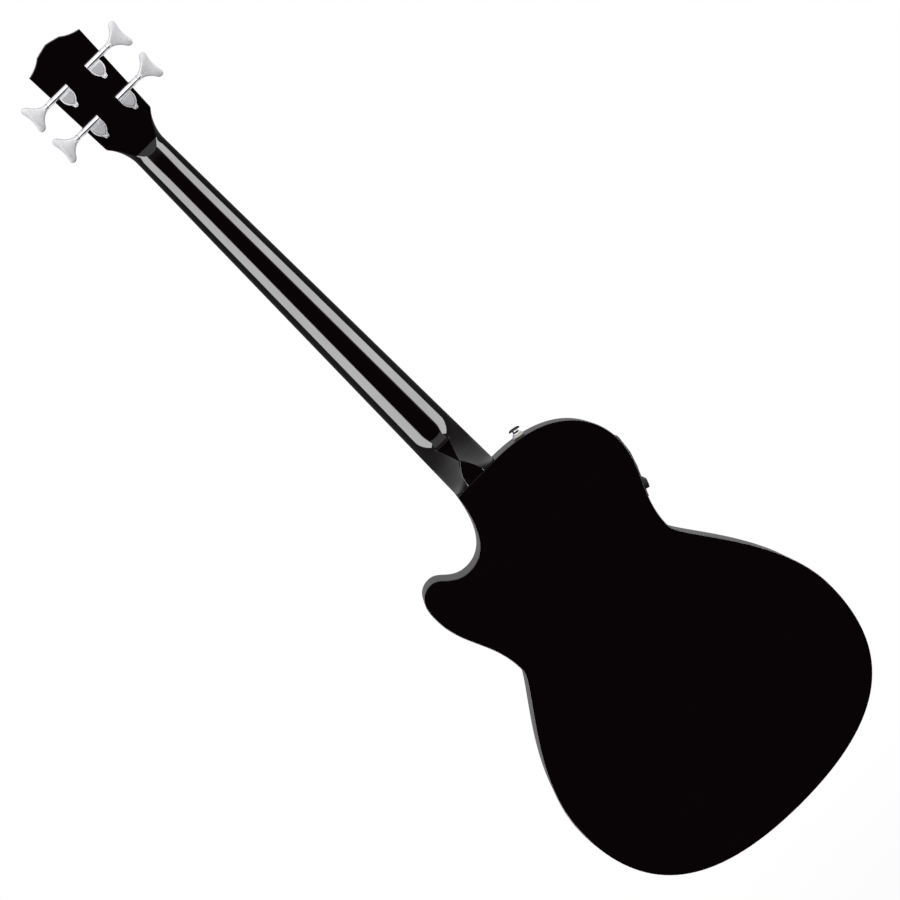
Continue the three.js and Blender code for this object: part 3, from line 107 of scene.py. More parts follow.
# Body outline and depth
BODY_LENGTH = 521.1
JOINT_LEAD = 1.4
UPPER_BOUT = 291.3
WAIST = 232.3
LOWER_BOUT = 398.5
CUTAWAY_DEPTH = 69.6
CUTAWAY_REACH = 79.4
HORN_REACH = 122.4
HORN_HEIGHT = 20.2
UPPER_SHARE = 0.158
WAIST_SHARE = 0.3668
LOWER_SHARE = 0.7072
SHOULDER_SHARES = (0.731, 0.495)
WAISTWARD_SHARES = (0.389, 0.433)
BOUTWARD_SHARES = (0.113, 0.455)
TAILWARD_SHARES = (0.602, 0.76)
CUTAWAY_SHARES = (0.151, 0.795, 0.412)
VALLEY_SHARES = (0.577, 0.372)
HORN_SHARES = (1.05, 0.254)
DEPTH_AT_NECK = 92
DEPTH_AT_TAIL = 106
BACK_ARCH = 4
TOP_THICKNESS = 3
BACK_THICKNESS = 2.8
SIDE_THICKNESS = 2.2
BINDING_WIDTH = 2.2
BINDING_HEIGHT = 5
BINDING_GAP = 0.03
PLATE_GAP = 0.04
PLATE_EDGE = 0.12
BACK_STRIPS = 40
CENTRE_GAP = 0.02
JACK_HOLE_RADIUS = 6.3
STRAP_HOLE_RADIUS = 2.1

# Soundhole, bridge and strings
SOUNDHOLE_RADIUS = 50
ROSETTE_INNER = 54
ROSETTE_WIDTH = 8
ROSETTE_DEPTH = 1.2
BRIDGE_THICKNESS = 8
BRIDGE_PLATE = 2.5
SADDLE_TOP = -12
PIN_SETBACK = 17
PIN_DIAMETER = 5.2
STRING_DIAMETERS = (2.67, 2.16, 1.65, 1.14)
NUT_SPREAD = 34.8
BRIDGE_SPREAD = 57
NUT_LIFT = 0.7
BALL_RADIUS = 2.2
COIL_TURNS = 2.2
COIL_STEPS = 32
COIL_GAP = 0.5
COIL_LIFT = 1.8

# Tuners, in the headstock's own frame
TUNERS_ALONG = (68, 117.2)
POST_PLACE = 23.4
GEAR_OFFSET = 11
WORM_LIFT = 5.4
WORM_TUBE_RADIUS = 4
WORM_TUBE_ENDS = (14.6, 47)
WORM_BORE = 3.1
COVER_HALF_WIDTH = 8.8
COVER_HEIGHT = 8.2
PADDLE_START = 47.8
PADDLE_LENGTH = 26.4
PADDLE_HALF_WIDTH = 17.8
PADDLE_THICKNESS = 4.2
POST_HEIGHT = 21
POST_RADIUS = 4
POST_HOLE_RADIUS = 6.5
BUSH_RISE = 2.4

# Fittings on the rim
STRAP_PLACE = (-68, 46, -527.287)
STRAP_AXIS = (-0.18495, 0, 0.98275)
STRAP_BUTTON_ENDS = (3.85, 11.6)
PUSH_BUTTON_TOP = (-138.95, 50, -649.688)
PREAMP_WINDOW = ((-20, -26, -61), (10, 26, 11))
KNOB_SIDES = 72
KNOB_NOTCH = 0.28

# Stage, in metres and degrees
CAMERA_PLACE = (0, 3.5, -0.317)
CAMERA_AIM = (-0.001462, 0, -0.484726)
CAMERA_ROLL = -44.8423
CAMERA_LENS = 120.898
KEY_LAMPS = (("key_rear", (0, 4, 0.1), (3.2, 3)), ("key_front", (1.6, -2.6, 1.1), (1.6, 1.6)))
KEY_AIM = (0, 0, -0.3)
FLOOR_RADIUS = 14
FLOOR_FADE = (0.2, 0.9)
FLOOR_SHARE = (0.955, 1)
STRIP_ANGLES = ((-1, "bass", 21, 60), (1, "treble", 18, 59))
STRIP_DISTANCE = 2.0
STRIP_MIDDLE = -0.13
STRIP_HEIGHT = 2.1
CARD_HALF_WIDTH = 1.35
CARD_REACH = (0.35, 4.2)
CARD_FOOT = -1.2
CARD_HEIGHT = 2.1


def fret_place(fret):
    """Distance from the nut to a fret."""
    return SCALE_LENGTH * (1 - 2 ** (-fret / 12))


BODY_TOP = JOINT_LEAD - fret_place(JOINT_FRET)
BODY_TAIL = BODY_TOP - BODY_LENGTH
UPPER_Z = BODY_TOP - BODY_LENGTH * UPPER_SHARE
WAIST_Z = BODY_TOP - BODY_LENGTH * WAIST_SHARE
LOWER_Z = BODY_TOP - BODY_LENGTH * LOWER_SHARE
VALLEY_Z = BODY_TOP - CUTAWAY_DEPTH
HORN_Z = VALLEY_Z + HORN_HEIGHT
BOARD_END = -(fret_place(FRET_COUNT) + BOARD_OVERHANG)
BOARD_FACE = -(SEAT_GAP + BOARD_THICKNESS)
SOUNDHOLE_Z = BOARD_END - SEAT_GAP - ROSETTE_INNER - ROSETTE_WIDTH
PIN_Z = -(SCALE_LENGTH + PIN_SETBACK)
HEAD_FRAME = Matrix.Translation((0, 0, HEAD_START * MM)) @ Matrix.Rotation(-HEAD_TILT, 4, "X")


def between(start, end, share):
    """A value part of the way between two others."""
    return start + (end - start) * share


def neck_width(z):
    """Width of the neck at a height."""
    return between(NUT_WIDTH, JOINT_WIDTH, z / -fret_place(JOINT_FRET))


def back_at(x, z):
    """Depth of the arched back's face behind a place on the soundboard."""
    along = (BODY_TOP - z) / BODY_LENGTH
    across = x / (LOWER_BOUT / 2)
    return between(DEPTH_AT_NECK, DEPTH_AT_TAIL, along) - BACK_ARCH * across * across


def colour_setting(label, note, value):
    """A colour that the panel shows."""
    return FloatVectorProperty(
        name=label, description=note, default=value, subtype="COLOR", min=0, max=1)


class FinishColours(bpy.types.PropertyGroup):
    """Colours of the instrument's finishes."""

    lacquer: colour_setting("Lacquer", "Gloss black of the body and neck", (0.0031, 0.001, 0.0014))
    spruce: colour_setting("Spruce", "Bare spruce of the braces", (0.62, 0.44, 0.25))
    mahogany: colour_setting("Mahogany", "Bare wood of the linings and blocks", (0.27, 0.115, 0.05))
    rosewood: colour_setting("Rosewood", "Fingerboard and bridge", (0.05, 0.022, 0.014))
    plastic: colour_setting(
        "Plastic", "Pickguard, panel, knobs and the rosette's dark strips", (0.009, 0.009, 0.0095))
    nut: colour_setting("Nut and saddle", "Nut, saddle and bridge pins", (0.8, 0.76, 0.64))
    nickel: colour_setting("Tuner metal", "Gear covers and keys", (0.76, 0.76, 0.785))
    bronze: colour_setting("String winding", "Wound strings", (0.62, 0.36, 0.15))


class PieceSizes(bpy.types.PropertyGroup):
    """Sizes of the details that the frame leaves plain."""

    edge_radius: FloatProperty(
        name="Body edge", description="Rounding of the body's outer edges",
        default=0.6 * MM, unit="LENGTH", min=0.2 * MM, max=2.1 * MM)
    winding_pitch: FloatProperty(
        name="Winding pitch", description="Width of one turn of the strings' wrap wire",
        default=0.42 * MM, unit="LENGTH", min=0.1 * MM, max=1 * MM)


def level_setting(label, note, value, highest):
    """A strength that the panel shows."""
    return FloatProperty(name=label, description=note, default=value, min=0, max=highest)


class StageSettings(bpy.types.PropertyGroup):
    """Light levels and the floor's place."""

    sky_level: level_setting("Room light", "Strength of the white room on the object", 0.6, 2)
    key_level: level_setting(
        "Key lamps", "Radiance of the large lamps on everything but the lacquer", 1.5, 20)
    strip_level: level_setting(
        "Strip lamps", "Radiance of the tall lamps mirrored in the lacquer", 56, 500)
    top_level: level_setting(
        "Top lamps", "Radiance of the overhead and wing lamps mirrored in the lacquer", 3.9, 100)
    card_level: level_setting(
        "Dark card", "Brightness of the card behind the camera, as mirrored", 0.12, 1)
    floor_height: FloatProperty(
        name="Floor", description="Height of the floor",
        default=-1.25, unit="LENGTH", min=-2, max=-1.06)


# Selecting and making meshes

def put_down():
    """Leave nothing selected."""
    bpy.ops.object.select_all(action="DESELECT")


def pick_up(piece):
    """Select one piece alone and make it active."""
    put_down()
    piece.select_set(True)
    bpy.context.view_layer.objects.active = piece


def rename(piece, name):
    """Name a piece and its mesh."""
    piece.name = name
    piece.data.name = name


def enter_mesh(piece):
    """Open a piece for editing, all of it selected."""
    pick_up(piece)
    bpy.ops.object.mode_set(mode="EDIT")
    bpy.ops.mesh.select_all(action="SELECT")


def leave_mesh():
    """Go back from editing a mesh to whole objects."""
    bpy.ops.object.mode_set(mode="OBJECT")


def open_draft(piece):
    """The mesh being edited, its corners numbered."""
    draft = bmesh.from_edit_mesh(piece.data)
    draft.verts.ensure_lookup_table()
    draft.verts.index_update()
    return draft


def lofted(name, rings, capped=True):
    """A skin that starts as a circle and is extruded ring by ring, in metres."""
    count = len(rings[0])
    put_down()
    bpy.ops.mesh.primitive_circle_add(vertices=count, radius=10 * MM)
    piece = bpy.context.object
    rename(piece, name)
    bpy.ops.object.mode_set(mode="EDIT")
    bpy.ops.mesh.select_mode(type="VERT")
    draft = open_draft(piece)
    current = list(range(count))
    for number, ring in enumerate(rings):
        if number:
            bpy.ops.mesh.extrude_region_move()
            draft = open_draft(piece)
            current = [grown_from(draft.verts[index]) for index in current]
        for index, place in zip(current, ring):
            draft.verts[index].co = place
    bmesh.update_edit_mesh(piece.data)
    if capped:
        bpy.ops.mesh.edge_face_add()
        bpy.ops.mesh.select_all(action="DESELECT")
        draft = open_draft(piece)
        for index in range(count):
            draft.verts[index].select = True
        draft.select_flush(True)
        bpy.ops.mesh.edge_face_add()
    leave_mesh()
    enter_mesh(piece)
    bpy.ops.mesh.remove_doubles(threshold=OWN_WELD * MM)
    bpy.ops.mesh.normals_make_consistent(inside=False)
    leave_mesh()
    return piece


def grown_from(vertex):
    """Index of the new corner that the last extrusion drew out of this one."""
    for edge in vertex.link_edges:
        other = edge.other_vert(vertex)
        if other.select:
            return other.index
    raise RuntimeError("the extrusion left a corner behind")


def ringed(name, rings):
    """A closed hoop: the last ring meets the first."""
    return lofted(name, [*rings, rings[0]], capped=False)


def round_ring(radii, reach, place):
    """A ring about local X, in metres, from the radius of each of its corners."""
    sides = len(radii)
    return [
        place @ (MM * Vector((reach, radius * math.cos(math.tau * i / sides),
                              radius * math.sin(math.tau * i / sides))))
        for i, radius in enumerate(radii)]


def turned(name, profile, place=Matrix(), sides=40, hollow=False):
    """A form turned about local X from pairs of radius and reach, in millimetres."""
    rings = [round_ring([radius] * sides, reach, place) for radius, reach in profile]
    if hollow:
        return ringed(name, rings)
    return lofted(name, rings, capped=False)


def layered(name, plan, layers, shift=0, base=0):
    """A form stacked along Y from a plan, in pairs of inset and height, in millimetres."""
    return lofted(name, [
        [MM * Vector((shift + x, base + height, z)) for x, z in drawn_in(plan, inset)]
        for inset, height in layers])


def facing_back(x, y, z, turn=math.pi / 2):
    """A frame at a place in millimetres, its local X turned to lie along Y."""
    return Matrix.Translation((x * MM, y * MM, z * MM)) @ Matrix.Rotation(turn, 4, "Z")


def piped(name, path, radii, sides=12):
    """A round tube along a path in metres, with a UV map that runs along it."""
    side = Vector((1, 0, 0))
    rings = []
    reach = [0]
    for number, place in enumerate(path):
        before = path[max(number - 1, 0)]
        after = path[min(number + 1, len(path) - 1)]
        along = (after - before).normalized()
        side = (side - along * side.dot(along)).normalized()
        other = along.cross(side)
        if number:
            reach.append(reach[-1] + (place - before).length)
        rings.append([
            place + radii[number] * (
                side * math.cos(math.tau * i / sides) + other * math.sin(math.tau * i / sides))
            for i in range(sides)])
    piece = lofted(name, rings)
    length_map = piece.data.uv_layers.new(name="along")
    steps = {tuple(round(value / MM, 3) for value in corner): length
             for ring, length in zip(rings, reach) for corner in ring}
    for loop in piece.data.loops:
        corner = piece.data.vertices[loop.vertex_index].co
        key = tuple(round(value / MM, 3) for value in corner)
        length_map.data[loop.index].uv = (steps.get(key, 0), 0)
    return piece


def refined(node, name):
    """A copy of a CAD node with its corners merged and its flats whole."""
    piece = bpy.data.objects.new(name, frame["nodes"][node].data.copy())
    bpy.context.scene.collection.objects.link(piece)
    pick_up(piece)
    bpy.ops.mesh.customdata_custom_splitnormals_clear()
    enter_mesh(piece)
    bpy.ops.mesh.remove_doubles(threshold=CAD_WELD * MM)
    bpy.ops.mesh.dissolve_limited(angle_limit=math.radians(1.5))
    leave_mesh()
    return piece


def use_modifier(piece, kind, **settings):
    """Add a modifier and apply it."""
    pick_up(piece)
    modifier = piece.modifiers.new(kind.lower(), kind)
    for key, value in settings.items():
        setattr(modifier, key, value)
    bpy.ops.object.modifier_apply(modifier=modifier.name)


def soften(piece, width, segments=3, angle=35):
    """Round the edges sharper than an angle."""
    use_modifier(piece, "BEVEL", width=width * MM, segments=segments, limit_method="ANGLE",
                 angle_limit=math.radians(angle), use_clamp_overlap=True)


def cut_away(piece, *cutters):
    """Cut other solids out of a piece and throw them away."""
    for cutter in cutters:
        use_modifier(piece, "BOOLEAN", operation="DIFFERENCE", solver="EXACT", object=cutter)
        bpy.data.objects.remove(cutter)


def joined(pieces, name):
    """One piece made of several."""
    pick_up(pieces[0])
    for piece in pieces[1:]:
        piece.select_set(True)
    bpy.ops.object.join()
    rename(pieces[0], name)
    return pieces[0]


def copied(piece, name, matrix):
    """A copy with its own mesh, moved by a matrix and kept the right way out."""
    pick_up(piece)
    bpy.ops.object.duplicate()
    twin = bpy.context.object
    rename(twin, name)
    twin.data.transform(matrix)
    if matrix.determinant() < 0:
        twin.data.flip_normals()
    return twin


def finished(piece, finish, nodes=(), body="instrument", smooth=32):
    """Shade a piece, give it its finish and let it ride on its body."""
    pick_up(piece)
    bpy.ops.object.shade_smooth_by_angle(angle=math.radians(smooth))
    piece.data.materials.clear()
    piece.data.materials.append(FINISHES[finish])
    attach(piece, body)
    if nodes:
        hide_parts(*nodes)


def dressed(node, name, finish, edge, segments=3, angle=35, body="instrument"):
    """Show a CAD node as its own shape with rounded edges and a finish."""
    piece = refined(node, name)
    soften(piece, edge, segments, angle)
    finished(piece, finish, [node], body)


def box_cutter(low, high, place=Matrix()):
    """A box between two corners, in millimetres, as a cutter."""
    put_down()
    bpy.ops.mesh.primitive_cube_add(size=1)
    cutter = bpy.context.object
    middle = (Vector(low) + Vector(high)) * MM / 2
    size = (Vector(high) - Vector(low)) * MM
    cutter.data.transform(place @ Matrix.Translation(middle) @ Matrix.Diagonal((*size, 1)))
    return cutter


def rod_cutter(radius, start, end, place=Matrix(), sides=40):
    """A round bar between two places, in millimetres, as a cutter."""
    reach = Vector(end) - Vector(start)
    turn = Vector((1, 0, 0)).rotation_difference(reach.normalized()).to_matrix().to_4x4()
    matrix = place @ Matrix.Translation(Vector(start) * MM) @ turn
    return turned("cutter", [(0, 0), (radius, 0), (radius, reach.length), (0, reach.length)],
                  matrix, sides)


def crossed_slots(low, high, length, width, place):
    """Two crossed slots across local X, as cutters, from half their length and width."""
    return [box_cutter((low, -across, -along), (high, across, along), place)
            for across, along in ((length, width), (width, length))]


# Shader groups and materials

def new_group(name, inputs, outputs):
    """A shader group with named sockets and its two end nodes."""
    group = bpy.data.node_groups.new(name, "ShaderNodeTree")
    for label, kind, value in inputs:
        socket = group.interface.new_socket(name=label, in_out="INPUT", socket_type=kind)
        socket.default_value = value
    for label, kind in outputs:
        group.interface.new_socket(name=label, in_out="OUTPUT", socket_type=kind)
    return group, group.nodes.new("NodeGroupInput"), group.nodes.new("NodeGroupOutput")


def add_node(tree, kind, values=None, **settings):
    """A node with its settings and the values of its sockets."""
    node = tree.nodes.new(kind)
    for key, value in settings.items():
        setattr(node, key, value)
    for key, value in (values or {}).items():
        if isinstance(value, bpy.types.NodeSocket):
            tree.links.new(value, node.inputs[key])
        else:
            node.inputs[key].default_value = value
    return node


def object_pattern(tree, scale=(1, 1, 1), turn=(0, 0, 0)):
    """Object coordinates, turned and stretched."""
    coordinates = add_node(tree, "ShaderNodeTexCoord")
    mapping = add_node(tree, "ShaderNodeMapping", {
        "Vector": coordinates.outputs["Object"], "Rotation": turn, "Scale": scale})
    return mapping.outputs["Vector"]


def noise(tree, scale, detail, stretch=(1, 1, 1), turn=(0, 0, 0), **more):
    """Noise in object coordinates."""
    return add_node(tree, "ShaderNodeTexNoise", {
        "Vector": object_pattern(tree, stretch, turn), "Scale": scale, "Detail": detail,
        **more}).outputs["Fac"]


def distance_from(tree, centre, kept):
    """Distance in object coordinates from a centre, along the kept axes alone."""
    coordinates = add_node(tree, "ShaderNodeTexCoord")
    moved = add_node(tree, "ShaderNodeVectorMath", {
        0: coordinates.outputs["Object"], 1: centre}, operation="SUBTRACT")
    flat = add_node(tree, "ShaderNodeVectorMath", {0: moved.outputs[0], 1: kept},
                    operation="MULTIPLY")
    length = add_node(tree, "ShaderNodeVectorMath", {0: flat.outputs[0]}, operation="LENGTH")
    return length.outputs["Value"]


def ranged(tree, value, low, high, to_low=0, to_high=1):
    """A value taken from one range to another, held at its ends."""
    node = add_node(tree, "ShaderNodeMapRange", {
        "Value": value, "From Min": low, "From Max": high, "To Min": to_low, "To Max": to_high})
    return node.outputs["Result"]


def reckoned(tree, operation, first, second=0):
    """One sum, with one or two values."""
    return add_node(tree, "ShaderNodeMath", {0: first, 1: second}, operation=operation).outputs[0]


def times(tree, first, second):
    """The product of two values."""
    return reckoned(tree, "MULTIPLY", first, second)


def most(tree, first, second):
    """The larger of two values."""
    return reckoned(tree, "MAXIMUM", first, second)


def mixed(tree, share, first, second):
    """A colour between two others."""
    node = add_node(tree, "ShaderNodeMix", data_type="RGBA")
    for socket, value in ((node.inputs[0], share), (node.inputs[6], first), (node.inputs[7], second)):
        if isinstance(value, bpy.types.NodeSocket):
            tree.links.new(value, socket)
        else:
            socket.default_value = value
    return node.outputs[2]


def make_scratches():
    """Fine hairlines in two directions."""
    group, start, end = new_group(
        "Fine scratches",
        [("Scale", "NodeSocketFloat", 1.0), ("Density", "NodeSocketFloat", 0.5)],
        [("Mask", "NodeSocketFloat")])
    masks = []
    for turn, stretch in (((0.3, 0.5, 0.8), (30, 1400, 30)), ((1.1, -0.4, 0.2), (1100, 24, 24))):
        streaks = noise(group, start.outputs["Scale"], 2.0, stretch, turn)
        edge = reckoned(group, "SUBTRACT", 0.8, times(group, start.outputs["Density"], 0.2))
        masks.append(reckoned(group, "GREATER_THAN", streaks, edge))
    group.links.new(most(group, *masks), end.inputs["Mask"])
    return group


def make_handling():
    """Soft smudges where hands and cloths have been."""
    group, start, end = new_group(
        "Handling marks", [("Scale", "NodeSocketFloat", 9.0)], [("Mask", "NodeSocketFloat")])
    broad = noise(group, start.outputs["Scale"], 5.0, Roughness=0.62)
    group.links.new(ranged(group, broad, 0.42, 0.7), end.inputs["Mask"])
    return group


def make_grain():
    """Straight wood grain with pores, running along local Z."""
    group, start, end = new_group(
        "Wood grain",
        [("Light", "NodeSocketColor", (0.6, 0.4, 0.2, 1)),
         ("Dark", "NodeSocketColor", (0.3, 0.15, 0.07, 1)),
         ("Line Spacing", "NodeSocketFloat", 420.0), ("Pores", "NodeSocketFloat", 0.5)],
        [("Color", "NodeSocketColor"), ("Height", "NodeSocketFloat")])
    light, dark, spacing, depth = [start.outputs[i] for i in range(4)]
    drift = noise(group, 1.0, 3.0, (14, 14, 2.2))
    coordinates = add_node(group, "ShaderNodeTexCoord")
    split = add_node(group, "ShaderNodeSeparateXYZ", {"Vector": coordinates.outputs["Object"]})
    sideways = reckoned(group, "ADD", split.outputs["X"], times(group, drift, 0.02))
    lines = reckoned(group, "SINE", times(group, sideways, spacing))
    dots = ranged(group, noise(group, 1.0, 2.0, (1500, 1500, 60)), 0.6, 0.72)
    share = ranged(group, lines, -1, 1, 0.1, 0.85)
    cloud = ranged(group, drift, 0.3, 0.7, 0.6, 1.2)
    colour = mixed(group, times(group, share, cloud), light, dark)
    pored = mixed(group, times(group, dots, depth), colour, dark)
    group.links.new(pored, end.inputs["Color"])
    group.links.new(reckoned(group, "SUBTRACT", share, dots), end.inputs["Height"])
    return group


def make_worn_edges():
    """A mask along sharp outer edges."""
    group, start, end = new_group(
        "Worn edges", [("Strength", "NodeSocketFloat", 1.0)], [("Mask", "NodeSocketFloat")])
    geometry = add_node(group, "ShaderNodeNewGeometry")
    edge = ranged(group, geometry.outputs["Pointiness"], 0.54, 0.62)
    broken = times(group, edge, ranged(group, noise(group, 260.0, 3.0), 0.4, 0.62))
    group.links.new(times(group, broken, start.outputs["Strength"]), end.inputs["Mask"])
    return group


def make_brushing():
    """Short parallel marks left by a polishing wheel."""
    group, start, end = new_group(
        "Brushing", [("Stretch", "NodeSocketVector", (60.0, 2600.0, 2600.0))],
        [("Height", "NodeSocketFloat")])
    group.links.new(noise(group, 1.0, 3.0, start.outputs["Stretch"]), end.inputs["Height"])
    return group


GROUPS = {}
FINISHES = {}


def effect(tree, name, output, **values):
    """An output of one of the shared groups, placed in a material."""
    node = tree.nodes.new("ShaderNodeGroup")
    node.node_tree = GROUPS[name]
    for key, value in values.items():
        node.inputs[key.title()].default_value = value
    return node.outputs[output]


def new_material(name):
    """A material with its shader tree."""
    material = bpy.data.materials.new(name)
    material.use_nodes = True
    return material, material.node_tree


def new_finish(name, **sockets):
    """A material with its own Principled shader and the constants on its sockets."""
    FINISHES[name], tree = new_material(name)
    shader = tree.nodes["Principled BSDF"]
    for key, value in sockets.items():
        shader.inputs[key.replace("_", " ").title().replace("Ior", "IOR")].default_value = value
    return tree, shader


def dress_shader(tree, shader, colour, roughness, height, distance, strength=1.0):
    """Link a colour and a roughness, and relief under the shader's normal."""
    bump = add_node(tree, "ShaderNodeBump", {
        "Height": height, "Distance": distance, "Strength": strength})
    for value, label in ((colour, "Base Color"), (roughness, "Roughness"),
                         (bump.outputs["Normal"], "Normal")):
        tree.links.new(value, shader.inputs[label])


def grain_of(tree, light, dark, spacing, pores):
    """Colour and height of wood grain."""
    node = tree.nodes.new("ShaderNodeGroup")
    node.node_tree = GROUPS["grain"]
    for socket, value in zip(node.inputs, (light, dark, spacing, pores)):
        socket.default_value = value
    return node.outputs["Color"], node.outputs["Height"]


def shaded(colour, factor):
    """A lighter or darker version of a colour, with alpha."""
    return (*(min(value * factor, 1) for value in colour), 1)


def lacquer_finish(name, colour, coat):
    """Polished black lacquer with faint swirls and smudges."""
    tree, shader = new_finish(
        name, specular_ior_level=0.0, coat_roughness=0.035, coat_ior=1.5)
    smudge = effect(tree, "handling", "Mask", scale=7.0)
    hairs = effect(tree, "scratches", "Mask", scale=0.6, density=0.35)
    worn = effect(tree, "worn edges", "Mask", strength=0.35)
    marks = most(tree, times(tree, smudge, 0.4), most(tree, times(tree, hairs, 0.3), worn))
    dulled = most(tree, smudge, hairs)
    tree.links.new(ranged(tree, dulled, 0, 1, coat, coat * 0.86), shader.inputs["Coat Weight"])
    dress_shader(tree, shader, mixed(tree, marks, shaded(colour, 1), shaded(colour, 1.9)),
                 ranged(tree, smudge, 0, 1, 0.42, 0.6), noise(tree, 900.0, 2.0), 0.00001)


def wood_finish(name, light, dark, spacing, pores, roughness, coat):
    """Bare or oiled wood."""
    tree, shader = new_finish(name, coat_weight=coat, coat_roughness=0.3)
    grain, relief = grain_of(tree, light, dark, spacing, pores)
    smudge = effect(tree, "handling", "Mask", scale=22.0)
    dress_shader(tree, shader, mixed(tree, times(tree, smudge, 0.25), grain, dark),
                 ranged(tree, smudge, 0, 1, roughness, roughness + 0.12), relief, 0.00008, 0.6)


def plastic_finish(name, colour, roughness, stipple, depth):
    """Moulded plastic with a fine stipple and rubbed edges."""
    tree, shader = new_finish(name, specular_ior_level=0.35)
    smudge = effect(tree, "handling", "Mask", scale=30.0)
    hairs = effect(tree, "scratches", "Mask", scale=1.2, density=0.5)
    pale = most(tree, effect(tree, "worn edges", "Mask", strength=0.8), times(tree, hairs, 0.3))
    dress_shader(tree, shader, mixed(tree, pale, shaded(colour, 1), shaded(colour, 1.8)),
                 ranged(tree, smudge, 0, 1, roughness, roughness + 0.15),
                 noise(tree, stipple, 3.0), depth)


def metal_finish(name, colour, roughness, stretch, depth):
    """Plated metal with polishing marks, hairlines and smudges."""
    tree, shader = new_finish(name, metallic=1.0, specular_tint=(0.2, 0.2, 0.2, 1))
    smudge = effect(tree, "handling", "Mask", scale=60.0)
    hairs = effect(tree, "scratches", "Mask", scale=1.6, density=0.6)
    dull = most(tree, times(tree, smudge, 0.6), hairs)
    dress_shader(tree, shader, mixed(tree, smudge, shaded(colour, 1), shaded(colour, 0.94)),
                 ranged(tree, dull, 0, 1, roughness, roughness + 0.14),
                 effect(tree, "brushing", "Height", stretch=stretch), depth)


def string_finish(name, colour, pitch):
    """Wrap wire wound round a core, its turns read from the tube's own length map, with painted shade
    in the gaps between the turns.
    """
    tree, shader = new_finish(name, metallic=1.0)
    along = add_node(tree, "ShaderNodeUVMap", uv_map="along")
    split = add_node(tree, "ShaderNodeSeparateXYZ", {"Vector": along.outputs["UV"]})
    turns = reckoned(tree, "SINE", times(tree, split.outputs["X"], math.tau / pitch))
    smudge = effect(tree, "handling", "Mask", scale=40.0)
    # Painted shade: the colour darkens in the gaps between the wire's turns, and real smudges darken it
    # too.
    groove_painted_shade = ranged(tree, turns, -1, -0.2, 1, 0)
    dark = most(tree, times(tree, groove_painted_shade, 0.7), times(tree, smudge, 0.35))
    dress_shader(tree, shader, mixed(tree, dark, shaded(colour, 1), shaded(colour, 0.35)),
                 ranged(tree, smudge, 0, 1, 0.26, 0.42), turns, 0.00012)


def rosette_finish(name, pale, dark):
    """Inlaid rings of pale and dark strips round the soundhole."""
    tree, shader = new_finish(name, coat_weight=0.25, coat_roughness=0.08)
    radius = distance_from(tree, (0, 0, SOUNDHOLE_Z * MM), (1, 0, 1))
    inward = reckoned(tree, "SUBTRACT", radius, ROSETTE_INNER * MM)
    bands = reckoned(tree, "FRACT", times(tree, inward, 375.0))
    strip = reckoned(tree, "GREATER_THAN", bands, 0.55)
    grain, relief = grain_of(tree, shaded(pale, 1), shaded(pale, 0.72), 900.0, 0.4)
    smudge = effect(tree, "handling", "Mask", scale=30.0)
    dress_shader(tree, shader, mixed(tree, strip, grain, shaded(dark, 1)),
                 ranged(tree, smudge, 0, 1, 0.3, 0.45), relief, 0.00003)


def pearl_finish(name):
    """Mother-of-pearl for the position dots."""
    tree, shader = new_finish(name, coat_weight=0.6, coat_roughness=0.05)
    cells = noise(tree, 1.0, 4.0, (260, 260, 90), Distortion=1.4)
    tint = mixed(tree, cells, (0.78, 0.86, 0.84, 1), (0.93, 0.84, 0.86, 1))
    dress_shader(tree, shader, tint, ranged(tree, cells, 0.3, 0.7, 0.2, 0.4), cells, 0.00002)


def felt_finish(name, colour):
    """Pressed felt."""
    tree, shader = new_finish(name, specular_ior_level=0.1, sheen_weight=0.4)
    fibres = noise(tree, 2600.0, 4.0)
    dress_shader(tree, shader, mixed(tree, fibres, shaded(colour, 0.8), shaded(colour, 1.15)),
                 ranged(tree, fibres, 0.3, 0.7, 0.85, 0.98), fibres, 0.0002)


def make_finishes(colours, sizes):
    """Every group and material of the instrument."""
    GROUPS.update({
        "scratches": make_scratches(), "handling": make_handling(), "grain": make_grain(),
        "worn edges": make_worn_edges(), "brushing": make_brushing()})
    lacquer_finish("black_lacquer", colours.lacquer, 0.2)
    for name, wood, lighter, darker, *texture in (
            ("spruce", colours.spruce, 1.1, 0.72, 2600.0, 0.15, 0.62, 0.0),
            ("mahogany", colours.mahogany, 1.2, 0.6, 900.0, 0.8, 0.6, 0.0),
            ("rosewood", colours.rosewood, 1.5, 0.4, 1500.0, 0.9, 0.42, 0.12)):
        wood_finish(name, shaded(wood, lighter), shaded(wood, darker), *texture)
    for name, plastic, *texture in (
            ("black_plastic", colours.plastic, 0.3, 1600.0, 0.00002),
            ("preamp_plastic", shaded(colours.plastic, 1.3)[:3], 0.46, 2400.0, 0.00006),
            ("ivory_plastic", colours.nut, 0.3, 700.0, 0.00001),
            ("battery_case", (0.04, 0.04, 0.045), 0.35, 900.0, 0.00002)):
        plastic_finish(name, plastic, *texture)
    # This chrome is darkened to stand in for the dark surroundings mirrored in the strap button's
    # flange: a painted dark reflection.
    metal_finish("chrome_painted_dark_reflection", (0.06, 0.06, 0.065), 0.08, (300.0, 300.0, 300.0), 0.000002)
    for name, factor, *texture in (
            ("chrome", 1.12, 0.07, (300.0, 300.0, 300.0), 0.000002),
            ("satin_nickel", 1, 0.4, (90.0, 1400.0, 1400.0), 0.000003),
            ("cover_face", 0.66, 0.34, (1400.0, 1400.0, 90.0), 0.000003),
            ("steel", 0.85, 0.24, (1800.0, 60.0, 1800.0), 0.000012),
            ("fret_wire", 0.95, 0.16, (80.0, 3000.0, 3000.0), 0.000006)):
        metal_finish(name, shaded(colours.nickel, factor)[:3], *texture)
    string_finish("bronze", colours.bronze, sizes.winding_pitch)
    felt_finish("felt", (0.93, 0.87, 0.8))
    rosette_finish("rosette", (0.7, 0.58, 0.4), colours.plastic)
    pearl_finish("pearl")


# Body

